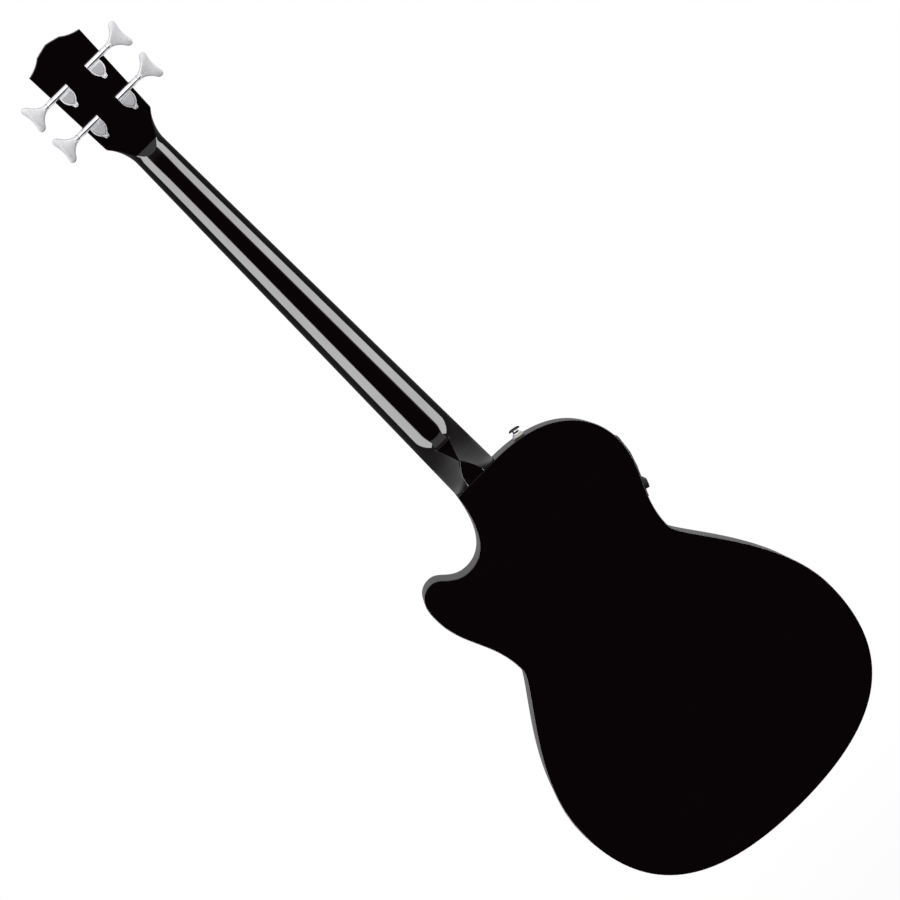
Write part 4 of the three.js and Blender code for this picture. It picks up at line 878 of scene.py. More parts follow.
def bend_points(bends, steps):
    """Places along a chain of bends, in millimetres, each bend with its own step count."""
    places = [bends[0][0]]
    for (start, first, second, stop), count in zip(bends, steps):
        corners = [Vector((x, z, 0)) for x, z in (start, first, second, stop)]
        places.extend((place.x, place.y)
                      for place in interpolate_bezier(*corners, count + 1)[1:])
    return places


def bend(start, stop, first_share, second_share):
    """A bend with upright ends, each handle reaching a share of the way to the other end."""
    return (start, (start[0], between(start[1], stop[1], first_share)),
            (stop[0], between(stop[1], start[1], second_share)), stop)


def bout_bends(side):
    """The outline from the upper bout round to the tail."""
    upper = (side * UPPER_BOUT / 2, UPPER_Z)
    waist = (side * WAIST / 2, WAIST_Z)
    lower = (side * LOWER_BOUT / 2, LOWER_Z)
    return [
        bend(upper, waist, *WAISTWARD_SHARES),
        bend(waist, lower, *BOUTWARD_SHARES),
        (lower, (lower[0], between(LOWER_Z, BODY_TAIL, TAILWARD_SHARES[0])),
         (lower[0] * TAILWARD_SHARES[1], BODY_TAIL), (0, BODY_TAIL)),
    ]


def body_outline():
    """The whole outline, anticlockwise from the bass end of the neck joint."""
    start = neck_width(BODY_TOP) / 2
    bout = UPPER_BOUT / 2
    shoulder = ((-start, BODY_TOP), (-between(start, bout, SHOULDER_SHARES[0]), BODY_TOP),
                (-bout, between(UPPER_Z, BODY_TOP, SHOULDER_SHARES[1])), (-bout, UPPER_Z))
    flank, drop, turn = CUTAWAY_SHARES
    cutaway = [
        ((start, BODY_TOP),
         (between(start, CUTAWAY_REACH, flank), between(BODY_TOP, VALLEY_Z, drop)),
         (between(CUTAWAY_REACH, start, turn), VALLEY_Z), (CUTAWAY_REACH, VALLEY_Z)),
        ((CUTAWAY_REACH, VALLEY_Z), (between(CUTAWAY_REACH, HORN_REACH, VALLEY_SHARES[0]), VALLEY_Z),
         (between(HORN_REACH, CUTAWAY_REACH, VALLEY_SHARES[1]), HORN_Z), (HORN_REACH, HORN_Z)),
        ((HORN_REACH, HORN_Z), (between(HORN_REACH, bout, HORN_SHARES[0]), HORN_Z),
         (bout, between(UPPER_Z, HORN_Z, HORN_SHARES[1])), (bout, UPPER_Z)),
    ]
    bass = bend_points([shoulder, *bout_bends(-1)], (26, 24, 26, 34))
    treble = bend_points([*cutaway, *bout_bends(1)], (16, 16, 18, 24, 26, 34))
    return bass + treble[-2::-1]


OUTLINE = body_outline()


def drawn_in(plan, distance):
    """An anticlockwise plan drawn in by a distance, with mitred corners."""
    places = [Vector(place) for place in plan]
    moved = []
    for number, corner in enumerate(places):
        before = (corner - places[number - 1]).normalized()
        after = (places[(number + 1) % len(places)] - corner).normalized()
        mitre = (before + after).normalized()
        inward = Vector((-mitre.y, mitre.x))
        lean = inward.dot(Vector((-before.y, before.x)))
        moved.append(corner + inward * distance / lean)
    return moved


def rim_ring(inset, depth, from_back):
    """The outline drawn in, at a depth behind the soundboard's face or in front of the back's."""
    return [
        MM * Vector((x, back_at(x, z) - depth if from_back else depth, z))
        for x, z in drawn_in(OUTLINE, inset)]


def rounded_corner(radius, steps=5):
    """Inset and depth pairs round the outer corner of a binding."""
    return [
        (radius * (1 - math.cos(math.pi / 2 * i / steps)),
         radius * (1 - math.sin(math.pi / 2 * i / steps)))
        for i in range(steps + 1)]


def binding(name, from_back, radius):
    """One hoop of binding with its outer corner rounded."""
    profile = [(BINDING_WIDTH, BINDING_HEIGHT), (0, BINDING_HEIGHT), *rounded_corner(radius),
               (BINDING_WIDTH, 0)]
    return ringed(name, [rim_ring(inset, depth, from_back) for inset, depth in profile])


def plate_layers(thickness):
    """Insets and depths of a plate between the bindings, its outer edge just broken."""
    inset = BINDING_WIDTH + PLATE_GAP
    return ((inset, thickness), (inset, PLATE_EDGE), (inset + PLATE_EDGE, 0))


def back_plate():
    """The arched back: a flat plate cut into long strips, then pressed to its arch."""
    piece = layered("back_panel", OUTLINE,
                    [(inset, -depth) for inset, depth in plate_layers(BACK_THICKNESS)])
    enter_mesh(piece)
    for number in range(1, BACK_STRIPS):
        across = between(-LOWER_BOUT / 2, LOWER_BOUT / 2, number / BACK_STRIPS)
        bpy.ops.mesh.select_all(action="SELECT")
        bpy.ops.mesh.bisect(plane_co=(across * MM, 0, 0), plane_no=(1, 0, 0))
    leave_mesh()
    for vertex in piece.data.vertices:
        vertex.co.y += back_at(vertex.co.x / MM, vertex.co.z / MM) * MM
    return piece


def rosette_hoop(name, margin, first, last):
    """A flat hoop round the soundhole, between two depths."""
    inner, outer = ROSETTE_INNER - margin, ROSETTE_INNER + ROSETTE_WIDTH + margin
    profile = [(inner, first), (outer, first), (outer, last), (inner, last)]
    return turned(name, profile, facing_back(0, 0, SOUNDHOLE_Z), 96, hollow=True)


PIN_PLACES = [between(-BRIDGE_SPREAD / 2, BRIDGE_SPREAD / 2, i / 3) for i in range(4)]
PIN_HOLE = PIN_DIAMETER / 2 + SEAT_GAP
STRING_SLOT = max(STRING_DIAMETERS) + 2 * SEAT_GAP
STRING_DROP = PIN_Z + PIN_HOLE + max(STRING_DIAMETERS) / 2 + SEAT_GAP


def slot_cutter(x, low, high, start, end):
    """A box as wide as a string's slot."""
    return box_cutter((x - STRING_SLOT / 2, low, start), (x + STRING_SLOT / 2, high, end))


def pin_hole_cutters(low, high):
    """Straight holes for the bridge pins, with the string's slot in front."""
    end = STRING_DROP + max(STRING_DIAMETERS) / 2 + SEAT_GAP
    cutters = []
    for x in PIN_PLACES:
        cutters.append(rod_cutter(PIN_HOLE, (x, low, PIN_Z), (x, high, PIN_Z), sides=24))
        cutters.append(slot_cutter(x, low, high, PIN_Z, end))
    return cutters


def soundboard():
    """The flat top with its soundhole, rosette channel and pin holes."""
    piece = lofted("top_panel", [
        rim_ring(inset, depth, False) for inset, depth in plate_layers(TOP_THICKNESS)])
    hole = rod_cutter(SOUNDHOLE_RADIUS, (0, -10, SOUNDHOLE_Z), (0, 10, SOUNDHOLE_Z), sides=96)
    channel = rosette_hoop("cutter", 0.05, -5, ROSETTE_DEPTH + SEAT_GAP)
    cut_away(piece, hole, channel, *pin_hole_cutters(-10, 10))
    return piece


def out_frame(place, out):
    """A frame on the rim: local X out of the body, local Y towards the back."""
    out = Vector(out).normalized()
    back = Vector((0, 1, 0))
    turn = Matrix((out, back, out.cross(back))).transposed().to_4x4()
    return Matrix.Translation(place) @ turn


def control_frame(joint):
    """The frame of a preamp control, at its joint."""
    return out_frame(Vector(JOINTS[joint]["pos_m"]), JOINTS["volume_turn"]["axis"])


def strap_frame():
    """The strap button's frame, with its origin on the rim."""
    return out_frame(MM * Vector(STRAP_PLACE), STRAP_AXIS)


def half_of(piece, side):
    """Keep one half of a hoop, cut on the centre line and closed."""
    enter_mesh(piece)
    bpy.ops.mesh.bisect(plane_co=(side * CENTRE_GAP * MM, 0, 0), plane_no=(side, 0, 0),
                        clear_inner=True, use_fill=True)
    leave_mesh()


def rim(name, side):
    """One bent side, from binding to binding, with its openings."""
    low = BINDING_HEIGHT + BINDING_GAP
    profile = [(0, low, False), (0, low, True), (SIDE_THICKNESS, low, True),
               (SIDE_THICKNESS, low, False)]
    piece = ringed(name, [rim_ring(*pair) for pair in profile])
    half_of(piece, side)
    depth = DEPTH_AT_TAIL / 2
    cut_away(piece, rod_cutter(
        JACK_HOLE_RADIUS, (0, depth, BODY_TAIL - 5), (0, depth, BODY_TAIL + 8)))
    if side < 0:
        cut_away(piece, box_cutter(*PREAMP_WINDOW, control_frame("bass_turn")),
                 rod_cutter(STRAP_HOLE_RADIUS, (-6, 0, 0), (6, 0, 0), strap_frame()))
    return piece


class BASS_OT_body(bpy.types.Operator):
    """Build the soundboard, back, sides and bindings"""

    bl_idname = "bass.body"
    bl_label = "Body"

    def execute(self, context):
        radius = context.scene.bass_sizes.edge_radius / MM
        for piece, slot, node, smooth in (
                (back_plate(), "black_lacquer", "back_plate", 20),
                (soundboard(), "black_lacquer", "soundboard", 20),
                (rim("bass_rim", -1), "black_lacquer", "bass_side", 32),
                (rim("treble_rim", 1), "black_lacquer", "treble_side", 32),
                (binding("front_edge_binding", False, radius), "black_plastic", "top_binding", 32),
                (binding("rear_edge_binding", True, radius), "black_plastic", "back_binding", 32)):
            finished(piece, "black_lacquer", [node], smooth=smooth)
        return {"FINISHED"}


class BASS_OT_inside(bpy.types.Operator):
    """Build the linings, blocks and braces"""

    bl_idname = "bass.inside"
    bl_label = "Inside of the body"

    def execute(self, context):
        for node, name, finish, edge in (
                ("top_lining", "front_kerfing", "mahogany", 0.4),
                ("back_lining", "rear_kerfing", "mahogany", 0.4),
                ("neck_block", "heel_block", "mahogany", 0.8),
                ("tail_block", "end_block", "mahogany", 0.8),
                ("upper_brace", "shoulder_brace", "spruce", 1.6),
                ("x_brace", "crossed_braces", "spruce", 1.6),
                ("back_bracing", "back_bars", "spruce", 1.4),
                ("bridge_plate", "bridge_patch", "mahogany", 0.5)):
            dressed(node, name, finish, edge, 2)
        return {"FINISHED"}


# Neck and headstock

def quadratic(start, middle, end, steps):
    """Places along a curve with one control place."""
    places = []
    for i in range(steps + 1):
        share = i / steps
        first = [between(a, b, share) for a, b in zip(start, middle)]
        second = [between(a, b, share) for a, b in zip(middle, end)]
        places.append(tuple(between(a, b, share) for a, b in zip(first, second)))
    return places


def head_half_outline():
    """Half width of the headstock against the distance along it, as a chain of places."""
    nut, tip = (NUT_WIDTH / 2, 0), (0, HEAD_LENGTH)
    flare = quadratic(nut, HEAD_FLARE_BEND, HEAD_BASE_CORNER, 14)
    scoop = quadratic(HEAD_TOP_CORNER, HEAD_SCOOP_BEND, HEAD_SCROLL_CORNER, 8)
    crown = quadratic(HEAD_SCROLL_CORNER, HEAD_CROWN_BEND, tip, 8)
    return [*flare, *scoop, *crown[1:]]


HEAD_HALF = head_half_outline()


def head_half_width(along):
    """Half width of the headstock at a distance along it."""
    for (low_x, low_z), (high_x, high_z) in zip(HEAD_HALF, HEAD_HALF[1:]):
        if low_z <= along <= high_z:
            return between(low_x, high_x, (along - low_z) / max(high_z - low_z, 0.001))
    return HEAD_HALF[0][0]


# Heel and shaft: heights below the nut, and the sizes of the heel's sweep
HEEL_BASE = BODY_TOP + SEAT_GAP
HEEL_END = back_at(0, BODY_TOP) - CAP_THICKNESS - SEAT_GAP
HEEL_TIP = HEEL_BASE + CAP_LENGTH + 0.8
HEEL_START = -450
EDGE_STEPS = 22
FLAT_STEPS = 9
FLAT_SHARE = 0.3
HEEL_GROWTH = 27
HEEL_FOOT = 11
HEEL_FOOT_SPREAD = 0.9
HEEL_LIFT = 3.5
HEEL_NECK = -479
SHAFT_TOP = -45
SHAFT_STEP = 30


def read_off(table, place):
    """A value read off a table of places and values, straight between its rows."""
    rows = sorted(table)
    if place <= rows[0][0]:
        return rows[0][1]
    for (low, first), (high, second) in zip(rows, rows[1:]):
        if place <= high:
            return between(first, second, (place - low) / (high - low))
    return rows[-1][1]


def eased(value, start, end):
    """From nought to one between two values, with soft ends."""
    share = min(max((value - start) / (end - start), 0), 1)
    return share * share * (3 - 2 * share)


def cap_outline(inset=0, steps=24):
    """Half of the heel cap's plan, from the body to its tip."""
    half, reach = CAP_WIDTH / 2 - inset, CAP_LENGTH - 1.4 * inset
    corners = [Vector((x, z, 0)) for x, z in (
        (half, 0), (half * 0.92, reach / 2), (half / 2, reach * 0.72), (0, reach))]
    return [(place.x, place.y) for place in interpolate_bezier(*corners, steps + 1)]


CAP_EDGE = [(HEEL_BASE + z, x) for x, z in cap_outline()]


def neck_depth(z):
    """Depth of the neck's shaft behind the gluing face."""
    return between(NECK_DEPTH_NUT, NECK_DEPTH_HEEL, z / BODY_TOP)


def ridge_depth(z):
    """Depth of the heel's ridge, which sweeps from the shaft out to the cap."""
    share = min(max((HEEL_START - z) / (HEEL_START - HEEL_TIP), 0), 1)
    return between(neck_depth(z), HEEL_END, share ** HEEL_LIFT)


def ridge_half_width(z):
    """Half width of the flat along the heel's ridge, or of the seat of the cap."""
    if z <= HEEL_BASE + CAP_LENGTH:
        return read_off(CAP_EDGE, z)
    return read_off(((HEEL_TIP - 0.5, 0.15), (-491, 2.6), (-485, 5.2), (HEEL_NECK, 7.6),
                     (-474, 10.6), (-450, 9)), z)


def rounded_side(half, flat, deep, roundness, steps=70):
    """Half of a section: a round shoulder from the side flat up to the flat of the back."""
    side = []
    for i in range(steps + 1):
        angle = math.pi / 2 * i / steps
        side.append((between(flat, half, max(math.cos(angle), 0) ** (2 / roundness)),
                     between(NECK_SIDE_FLAT, deep, math.sin(angle) ** (2 / roundness))))
    return side


def heel_side(z, steps=90):
    """Half of a level section through the neck where the heel grows out of it."""
    half, deep, nose = neck_width(z) / 2, ridge_depth(z), ridge_half_width(z)
    grown = eased(-z, -HEEL_START, -HEEL_START + HEEL_GROWTH)
    sweep = read_off(((HEEL_BASE, 1.25), (-497, 1.25), (-485, 1.2), (-474, 1)), z)
    foot = HEEL_FOOT_SPREAD * max(1 - (z - HEEL_BASE) / HEEL_FOOT, 0) ** 2
    side = []
    for i in range(steps + 1):
        angle = math.pi / 2 * i / steps
        rise = math.sin(angle) ** (2 / NECK_ROUND)
        round_x = half * max(math.cos(angle), 0) ** (2 / NECK_ROUND)
        heel_x = nose + (half - nose) * (1 - rise) ** sweep
        x = between(round_x, heel_x, grown)
        x += (half - x) * foot * (1 - rise ** 8)
        side.append((x, between(NECK_SIDE_FLAT, deep, rise)))
    return side


def spaced(path, count, crowding):
    """Places along a path, crowded towards its start."""
    lengths = [0]
    for before, after in zip(path, path[1:]):
        lengths.append(lengths[-1] + math.dist(before, after))
    places = []
    number = 0
    for i in range(count + 1):
        wanted = lengths[-1] * (i / count) ** crowding
        while number < len(lengths) - 2 and lengths[number + 1] < wanted:
            number += 1
        span = max(lengths[number + 1] - lengths[number], 1e-9)
        share = min((wanted - lengths[number]) / span, 1)
        places.append([between(a, b, share) for a, b in zip(path[number], path[number + 1])])
    return places


def worn_round(path, rounds):
    """A path with its corners rubbed down."""
    for _ in range(rounds):
        path = [path[0], *(
            [(a + 2 * b + c) / 4 for a, b, c in zip(*three)]
            for three in zip(path, path[1:], path[2:])), path[-1]]
    return path


def whole_section(side, edge, place, front_edge=FRONT_EDGE, rub=0):
    """A whole ring of the neck from half of its back, with its corner at a half width."""
    half = side[0][0]
    path = [(half - front_edge, 0), (half, front_edge), *side, (0, side[-1][1])]
    if rub:
        path = worn_round(spaced(path, 160, 1), rub)
    turn = next(number for number, corner in enumerate(path) if number > 2 and corner[0] <= edge)
    before, after = path[turn - 1], path[turn]
    share = (before[0] - edge) / max(before[0] - after[0], 1e-9)
    corner = [between(a, b, min(share, 1)) for a, b in zip(before, after)]
    flank = spaced([corner, *path[turn - 1::-1]], EDGE_STEPS, 1.6)[::-1]
    flat = spaced([corner, *path[turn:]], FLAT_STEPS, 1.3)
    treble = [*flank, *flat[1:]]
    bass = [(-x, y) for x, y in treble[-2::-1]]
    front = [((half - front_edge) * share, 0) for share in (-0.5, 0, 0.5)]
    return [MM * (place @ Vector((x, y, 0))) for x, y in (*treble, *bass, *front)]


def shaft_roundness(z):
    """The shaft grows a little squarer towards the headstock."""
    return between(NECK_ROUND, FACET_ROUND, eased(z, SHAFT_TOP, TURN_START - 0.5))


def level_places():
    """Heights of the level sections of the neck, closest where the heel sweeps out."""
    places = [HEEL_BASE + rise for rise in (0, 0.4, 1, 1.8, 2.8, 4, 6, 9, 12, 15, 18, 20.5, 22.5,
                                            24, 25, 25.6)]
    z = HEEL_TIP - 0.9
    while z < HEEL_START + 16:
        places.append(z)
        z += 0.45 if z < HEEL_NECK else 0.9
    while z < SHAFT_TOP:
        places.append(z)
        z += SHAFT_STEP
    return places + [-36, -28, -22, -17, -13, -10, -8.5]


def neck_rings():
    """Every level section of the neck, from the body to just below the nut."""
    rings = []
    for z in level_places():
        half = neck_width(z) / 2
        if z < HEEL_START + 2:
            nose = ridge_half_width(z)
            edge = between(FLAT_SHARE * half, max(nose, 0.1), eased(-z, 462, 474))
            side = heel_side(z)
            rub = 3 if z > HEEL_TIP - 1 else 1
        else:
            edge = FLAT_SHARE * half
            side = rounded_side(half, 0, neck_depth(z), shaft_roundness(z))
            rub = 0
        rings.append(whole_section(side, edge, Matrix.Translation((0, 0, z)), rub=rub))
    return rings


# Facet behind the nut: where it starts and ends, how far it falls and how it is rounded
FACET_START = -1.6
FACET_END = 8.6
FACET_FALL = 2.45
FACET_ROUND = 2.35
FACET_SHOULDER = 1.5
TURN_START = -8


def head_frame(along):
    """A frame across the headstock, in millimetres."""
    return Matrix.Translation((0, 0, HEAD_START)) @ Matrix.Rotation(
        -HEAD_TILT, 4, "X") @ Matrix.Translation((0, 0, along))


def facet_rings():
    """Sections that lean over from the neck to the headstock across the flat facet."""
    rings = []
    shares = (0, 0.12, 0.24, 0.36, 0.44, 0.5, 0.53, 0.545, 0.555, 0.563, 0.571, 0.579, 0.588,
              0.6, 0.62, 0.645, 0.68, 0.73, 0.78, 0.84, 0.9, 0.95)
    for share in shares:
        place = Matrix.Translation((0, 0, between(TURN_START, HEAD_START, share))) @ Matrix.Rotation(
            -HEAD_TILT * share, 4, "X")
        rings.append(facet_ring(place, neck_width(min(place.translation.z, 0)) / 2))
    for along in (0, 0.7, 1.4, 2.1, 2.8, 3.5, 4.1, 4.4):
        rings.append(facet_ring(head_frame(along), head_half_width(along)))
    return rings


def facet_ring(place, half):
    """One section with the neck's own round, cut off by the plane of the facet."""
    foot = place.translation
    up = place.to_3x3() @ Vector((0, 1, 0))
    crown = (neck_depth(min(foot.z, 0)) - foot.y) / up.y
    slope = FACET_FALL / (FACET_END - FACET_START)
    facet = (NECK_DEPTH_NUT - slope * (foot.z - FACET_START) - foot.y) / (up.y + slope * up.z)
    if facet >= crown:
        return whole_section(
            rounded_side(half, 0, crown, FACET_ROUND), FLAT_SHARE * half, place)
    reach = (foot.z + up.z * facet - FACET_START) / (FACET_END - FACET_START)
    reach = min(max(reach, 0), 1)
    cut = ((facet - NECK_SIDE_FLAT) / (crown - NECK_SIDE_FLAT)) ** FACET_ROUND
    flat = half * (1 - cut) ** (1 / FACET_ROUND)
    side = []
    for shoulder, y in rounded_side(half, flat, facet, FACET_SHOULDER):
        rise = ((y - NECK_SIDE_FLAT) / (crown - NECK_SIDE_FLAT)) ** FACET_ROUND
        side.append((between(half * (1 - rise) ** (1 / FACET_ROUND), shoulder, reach), y))
    return whole_section(side, max(flat, FLAT_SHARE * half), place)


def head_rings():
    """The headstock's sections, squaring off from the facet up to the crown."""
    rings = []
    shoulders = ((4.7, 7.9), (8, 6.2), (12, 5), (16, 4), (20, 3.1), (24, 2.3), (28, 1.6), (31, 1.1),
                 (33.7, 0.75), (40, 0.6))
    seat = head_frame(0).inverted() @ Vector((0, NECK_DEPTH_NUT - FACET_FALL, FACET_END))
    for along in (seat.z, seat.z + 0.15, 5.4, 6.5, 8, 10, 12, 14, 16, 18, 20, 22, 24, 26, 28, 30,
                  32, 33.2, 33.6, 33.8, 34.2, 38, 60, 90, 120, 145, 152, 152.35, 152.5, 153, 154,
                  155.4, 157, 158.6, 160.2, 161.6, 162.2, 162.5, 163.2, 164, 164.8, 165.5, 166,
                  166.3, HEAD_LENGTH - 0.02):
        half = max(head_half_width(along), 0.1)
        deep = read_off(((seat.z, seat.y), (34, HEAD_THICKNESS)), along)
        flat = half - min(read_off(shoulders, along), half / 3)
        roundness = read_off(((seat.z, FACET_SHOULDER), (14, 1.9), (29, 1.9), (31, 2.4)), along)
        side = rounded_side(half, flat, deep, roundness)
        rings.append(whole_section(side, flat, head_frame(along), front_edge=min(FRONT_EDGE, half / 3)))
    return rings


def make_neck():
    """The neck, heel and headstock as one piece, with the tuner holes and truss rod channel."""
    piece = lofted("neck_and_headstock", [*neck_rings(), *facet_rings(), *head_rings()])
    cutters = [
        rod_cutter(POST_HOLE_RADIUS, (side * POST_PLACE, -6, along - GEAR_OFFSET),
                   (side * POST_PLACE, HEAD_THICKNESS + 6, along - GEAR_OFFSET), HEAD_FRAME)
        for side in (-1, 1) for along in TUNERS_ALONG]
    cutters.append(box_cutter(*ROD_CHANNEL))
    cut_away(piece, *cutters)
    return piece


def heel_cap():
    """The thin cap on the heel, its edges just broken."""
    low = HEEL_END + SEAT_GAP
    rings = []
    for inset, depth in ((0.2, 0), (0, 0.2), (0, CAP_THICKNESS - 0.3), (0.1, CAP_THICKNESS - 0.1),
                         (0.3, CAP_THICKNESS), (0.5, CAP_THICKNESS)):
        outline = [*cap_outline(inset), *((-x, z) for x, z in cap_outline(inset / 3)[-2::-1])]
        rings.append([MM * Vector((x, low + depth, HEEL_BASE + z)) for x, z in outline])
    return lofted("heel_button", rings)


class BASS_OT_neck(bpy.types.Operator):
    """Build the neck with its headstock and heel, the heel cap and the truss rod"""

    bl_idname = "bass.neck"
    bl_label = "Neck"

    def execute(self, context):
        finished(make_neck(), "black_lacquer", ["neck"], smooth=24)
        finished(heel_cap(), "black_lacquer", ["heel_cap"], smooth=15)
        dressed("truss_rod", "adjusting_rod", "steel", 1.2)
        return {"FINISHED"}


def crowned(half, low, high, z, steps=16):
    """A section across the board with a domed face."""
    ring = [Vector((half, low, z)), Vector((-half, low, z))]
    for i in range(steps + 1):
        across = between(-1, 1, i / steps)
        ring.append(Vector((half * across, high + BOARD_CROWN * across * across, z)))
    return [MM * place for place in ring]


def make_fret(number):
    """One crowned fret wire, its ends dressed in."""
    z = -fret_place(number)
    half = neck_width(z) / 2 - 0.4
    rings = []
    for reach, rise in ((-1.2, 0.1), (-1.1, 0.45), (-0.75, 0.85), (-0.3, 1.06), (0, 1.1),
                        (0.3, 1.06), (0.75, 0.85), (1.1, 0.45), (1.2, 0.1)):
        rings.append(crowned(half - (FRET_HEIGHT - rise) * 0.1 - rise * 0.35, BOARD_FACE + 1.2,
                             BOARD_FACE - rise, z + reach, 8))
    return lofted("fret", rings)


def make_dots():
    """Pearl position dots, let into the board."""
    dots = []
    for fret in (3, 5, 7, 9, 12, 15, 17, 19, 21):
        z = -(fret_place(fret) + fret_place(fret - 1)) / 2
        for x in ((-12, 12) if fret == 12 else (0,)):
            crown = BOARD_CROWN * (x / (neck_width(z) / 2)) ** 2
            dots.append(turned("dot", [(0, 1), (3.1, 1), (3.1, 0), (2.9, -0.05), (0, -0.06)],
                               facing_back(x, BOARD_FACE + crown, z), 24))
    return joined(dots, "position_dots")


class BASS_OT_fingerboard(bpy.types.Operator):
    """Build the fingerboard, frets, dots and nut"""

    bl_idname = "bass.fingerboard"
    bl_label = "Fingerboard"

    def execute(self, context):
        rings = []
        for z, drop in ((BOARD_END, 0.6), (BOARD_END + 0.6, 0), (-0.2, 0), (0, 0.2)):
            half = neck_width(z) / 2
            rings.append(crowned(half - drop / 2, -SEAT_GAP - drop * 0.1, BOARD_FACE + drop, z))
        board = lofted("board", rings)
        soften(board, 0.3, 2, 50)
        finished(board, "rosewood", ["fingerboard"], smooth=40)
        frets = joined([make_fret(number) for number in range(1, FRET_COUNT + 1)], "frets")
        finished(frets, "fret_wire", smooth=50)
        finished(make_dots(), "pearl", smooth=40)
        dressed("nut", "string_nut", "ivory_plastic", 0.35)
        return {"FINISHED"}


# Rosette, pickguard, bridge and pins

def make_pin(number, x):
    """A fluted pin with a domed head and a dark dot."""
    seat = -(2 * SEAT_GAP + BRIDGE_THICKNESS)
    place = facing_back(x, seat, PIN_Z, -math.pi / 2)
    head = turned("pin", [
        (0, -24), (2.0, -23.8), (2.2, -23), (2.6, 0), (3.4, 0), (4, 0.5), (4, 1.5),
        (3.8, 2.3), (3.2, 2.9), (2.2, 3.25), (0, 3.4)], place, 32)
    cut_away(head, slot_cutter(x, seat - 10, seat + 6, PIN_Z + 2.9, PIN_Z + 8))
    finished(head, "ivory_plastic", [f"bridge_pin_{number}"], smooth=40)
    dot = turned("pin_dot", [(0, 3.2), (1.4, 3.2), (1.4, 3.4), (1.2, 3.46), (0, 3.5)], place, 20)
    dot.name = f"pin_dot_{number}"
    finished(dot, "black_plastic", smooth=40)


class BASS_OT_front(bpy.types.Operator):
    """Build the rosette, pickguard, bridge, saddle and bridge pins"""

    bl_idname = "bass.front"
    bl_label = "Rosette, pickguard and bridge"

    def execute(self, context):
        finished(rosette_hoop("rosette_ring", 0, ROSETTE_DEPTH, 0), "rosette",
                 ["rosette"])
        for node, name, finish, *edge in (
                ("pickguard", "finger_guard", "black_plastic", 0.45, 3, 60),
                ("bridge", "bridge_block", "rosewood", 0.9, 4, 20),
                ("saddle", "string_saddle", "ivory_plastic", 1.1, 4),
                ("saddle_pickup", "pickup_strip", "steel", 0.2, 4)):
            dressed(node, name, finish, *edge)
        for number, x in enumerate(PIN_PLACES):
            make_pin(number + 1, x)
        return {"FINISHED"}


# Strings

STRING_TUNERS = ((-1, TUNERS_ALONG[0]), (-1, TUNERS_ALONG[1]), (1, TUNERS_ALONG[1]),
                 (1, TUNERS_ALONG[0]))


def string_path(number):
    """The route of a string from its ball under the bridge to its post, in metres."""
    radius = STRING_DIAMETERS[number] / 2
    side, along = STRING_TUNERS[number]
    pin_x = PIN_PLACES[number]
    nut_x = between(-NUT_SPREAD / 2, NUT_SPREAD / 2, number / 3)
    nut_floor = BOARD_FACE - FRET_HEIGHT - NUT_LIFT
    over_nut = Vector((nut_x, nut_floor - SEAT_GAP - radius, NUT_THICKNESS))
    over_saddle = Vector((pin_x, SADDLE_TOP - SEAT_GAP - radius, -SCALE_LENGTH))
    mouth = Vector((pin_x, -(2 * SEAT_GAP + BRIDGE_THICKNESS) - radius, STRING_DROP))
    below = TOP_THICKNESS + 2 * SEAT_GAP + BRIDGE_PLATE
    head = HEAD_FRAME.copy()
    head.translation /= MM
    start = head.inverted() @ over_nut
    coil_radius = POST_RADIUS + SEAT_GAP + radius
    axis = Vector((side * POST_PLACE, 0, along - GEAR_OFFSET))
    away = math.atan2(start.z - axis.z, start.x - axis.x)
    reach = math.hypot(start.x - axis.x, start.z - axis.z)
    meet = away - side * math.acos(coil_radius / reach)
    lowest = 2 * SEAT_GAP + BUSH_RISE + COIL_LIFT + radius
    pitch = 2 * radius + COIL_GAP
    coil = []
    for k in range(round(COIL_STEPS * COIL_TURNS) + 1):
        angle = meet - side * math.tau * k / COIL_STEPS
        coil.append(head @ Vector((
            axis.x + coil_radius * math.cos(angle), -(lowest + pitch * k / COIL_STEPS),
            axis.z + coil_radius * math.sin(angle))))
    ball_z = PIN_Z + PIN_DIAMETER / 2 + SEAT_GAP + BALL_RADIUS
    places = [
        Vector((pin_x, below + 4, ball_z)), Vector((pin_x, below + 0.3, ball_z)),
        Vector((pin_x, below, STRING_DROP)), mouth, over_saddle, over_nut, *coil]
    radii = [BALL_RADIUS, BALL_RADIUS] + [radius] * (len(places) - 2)
    return [MM * place for place in places], [MM * value for value in radii]


class BASS_OT_strings(bpy.types.Operator):
    """Build the four wound strings"""

    bl_idname = "bass.strings"
    bl_label = "Strings"

    def execute(self, context):
        for number in range(4):
            path, radii = string_path(number)
            piece = piped(f"wound_string_{number + 1}", path, radii)
            finished(piece, "bronze", [f"string_{number + 1}"], smooth=60)
        return {"FINISHED"}


# Tuners, each made for the treble side and mirrored for the bass side

COVER_BASE = HEAD_THICKNESS + SEAT_GAP
WORM_AXIS = COVER_BASE + WORM_LIFT
WHEEL_RADIUS = GEAR_OFFSET - 2.8 - 0.4
EAR_SCREW_PLACE = -21.4


def mirrored_plan(right):
    """A plan about the post's line from its right half, anticlockwise in the headstock's frame."""
    return [*((-x, z) for x, z in right[::-1]), *right][::-1]


def cover_outline():
    """The gear cover's plan, straight sided by the tube and drawn in towards its ear."""
    half = COVER_HALF_WIDTH
    bend = ((half, -8.5), (half * 0.97, -14.3), (half * 0.52, -19.6), (0.4, -20.6))
    return mirrored_plan([(half, -3.2), *bend_points([bend], (14,))])


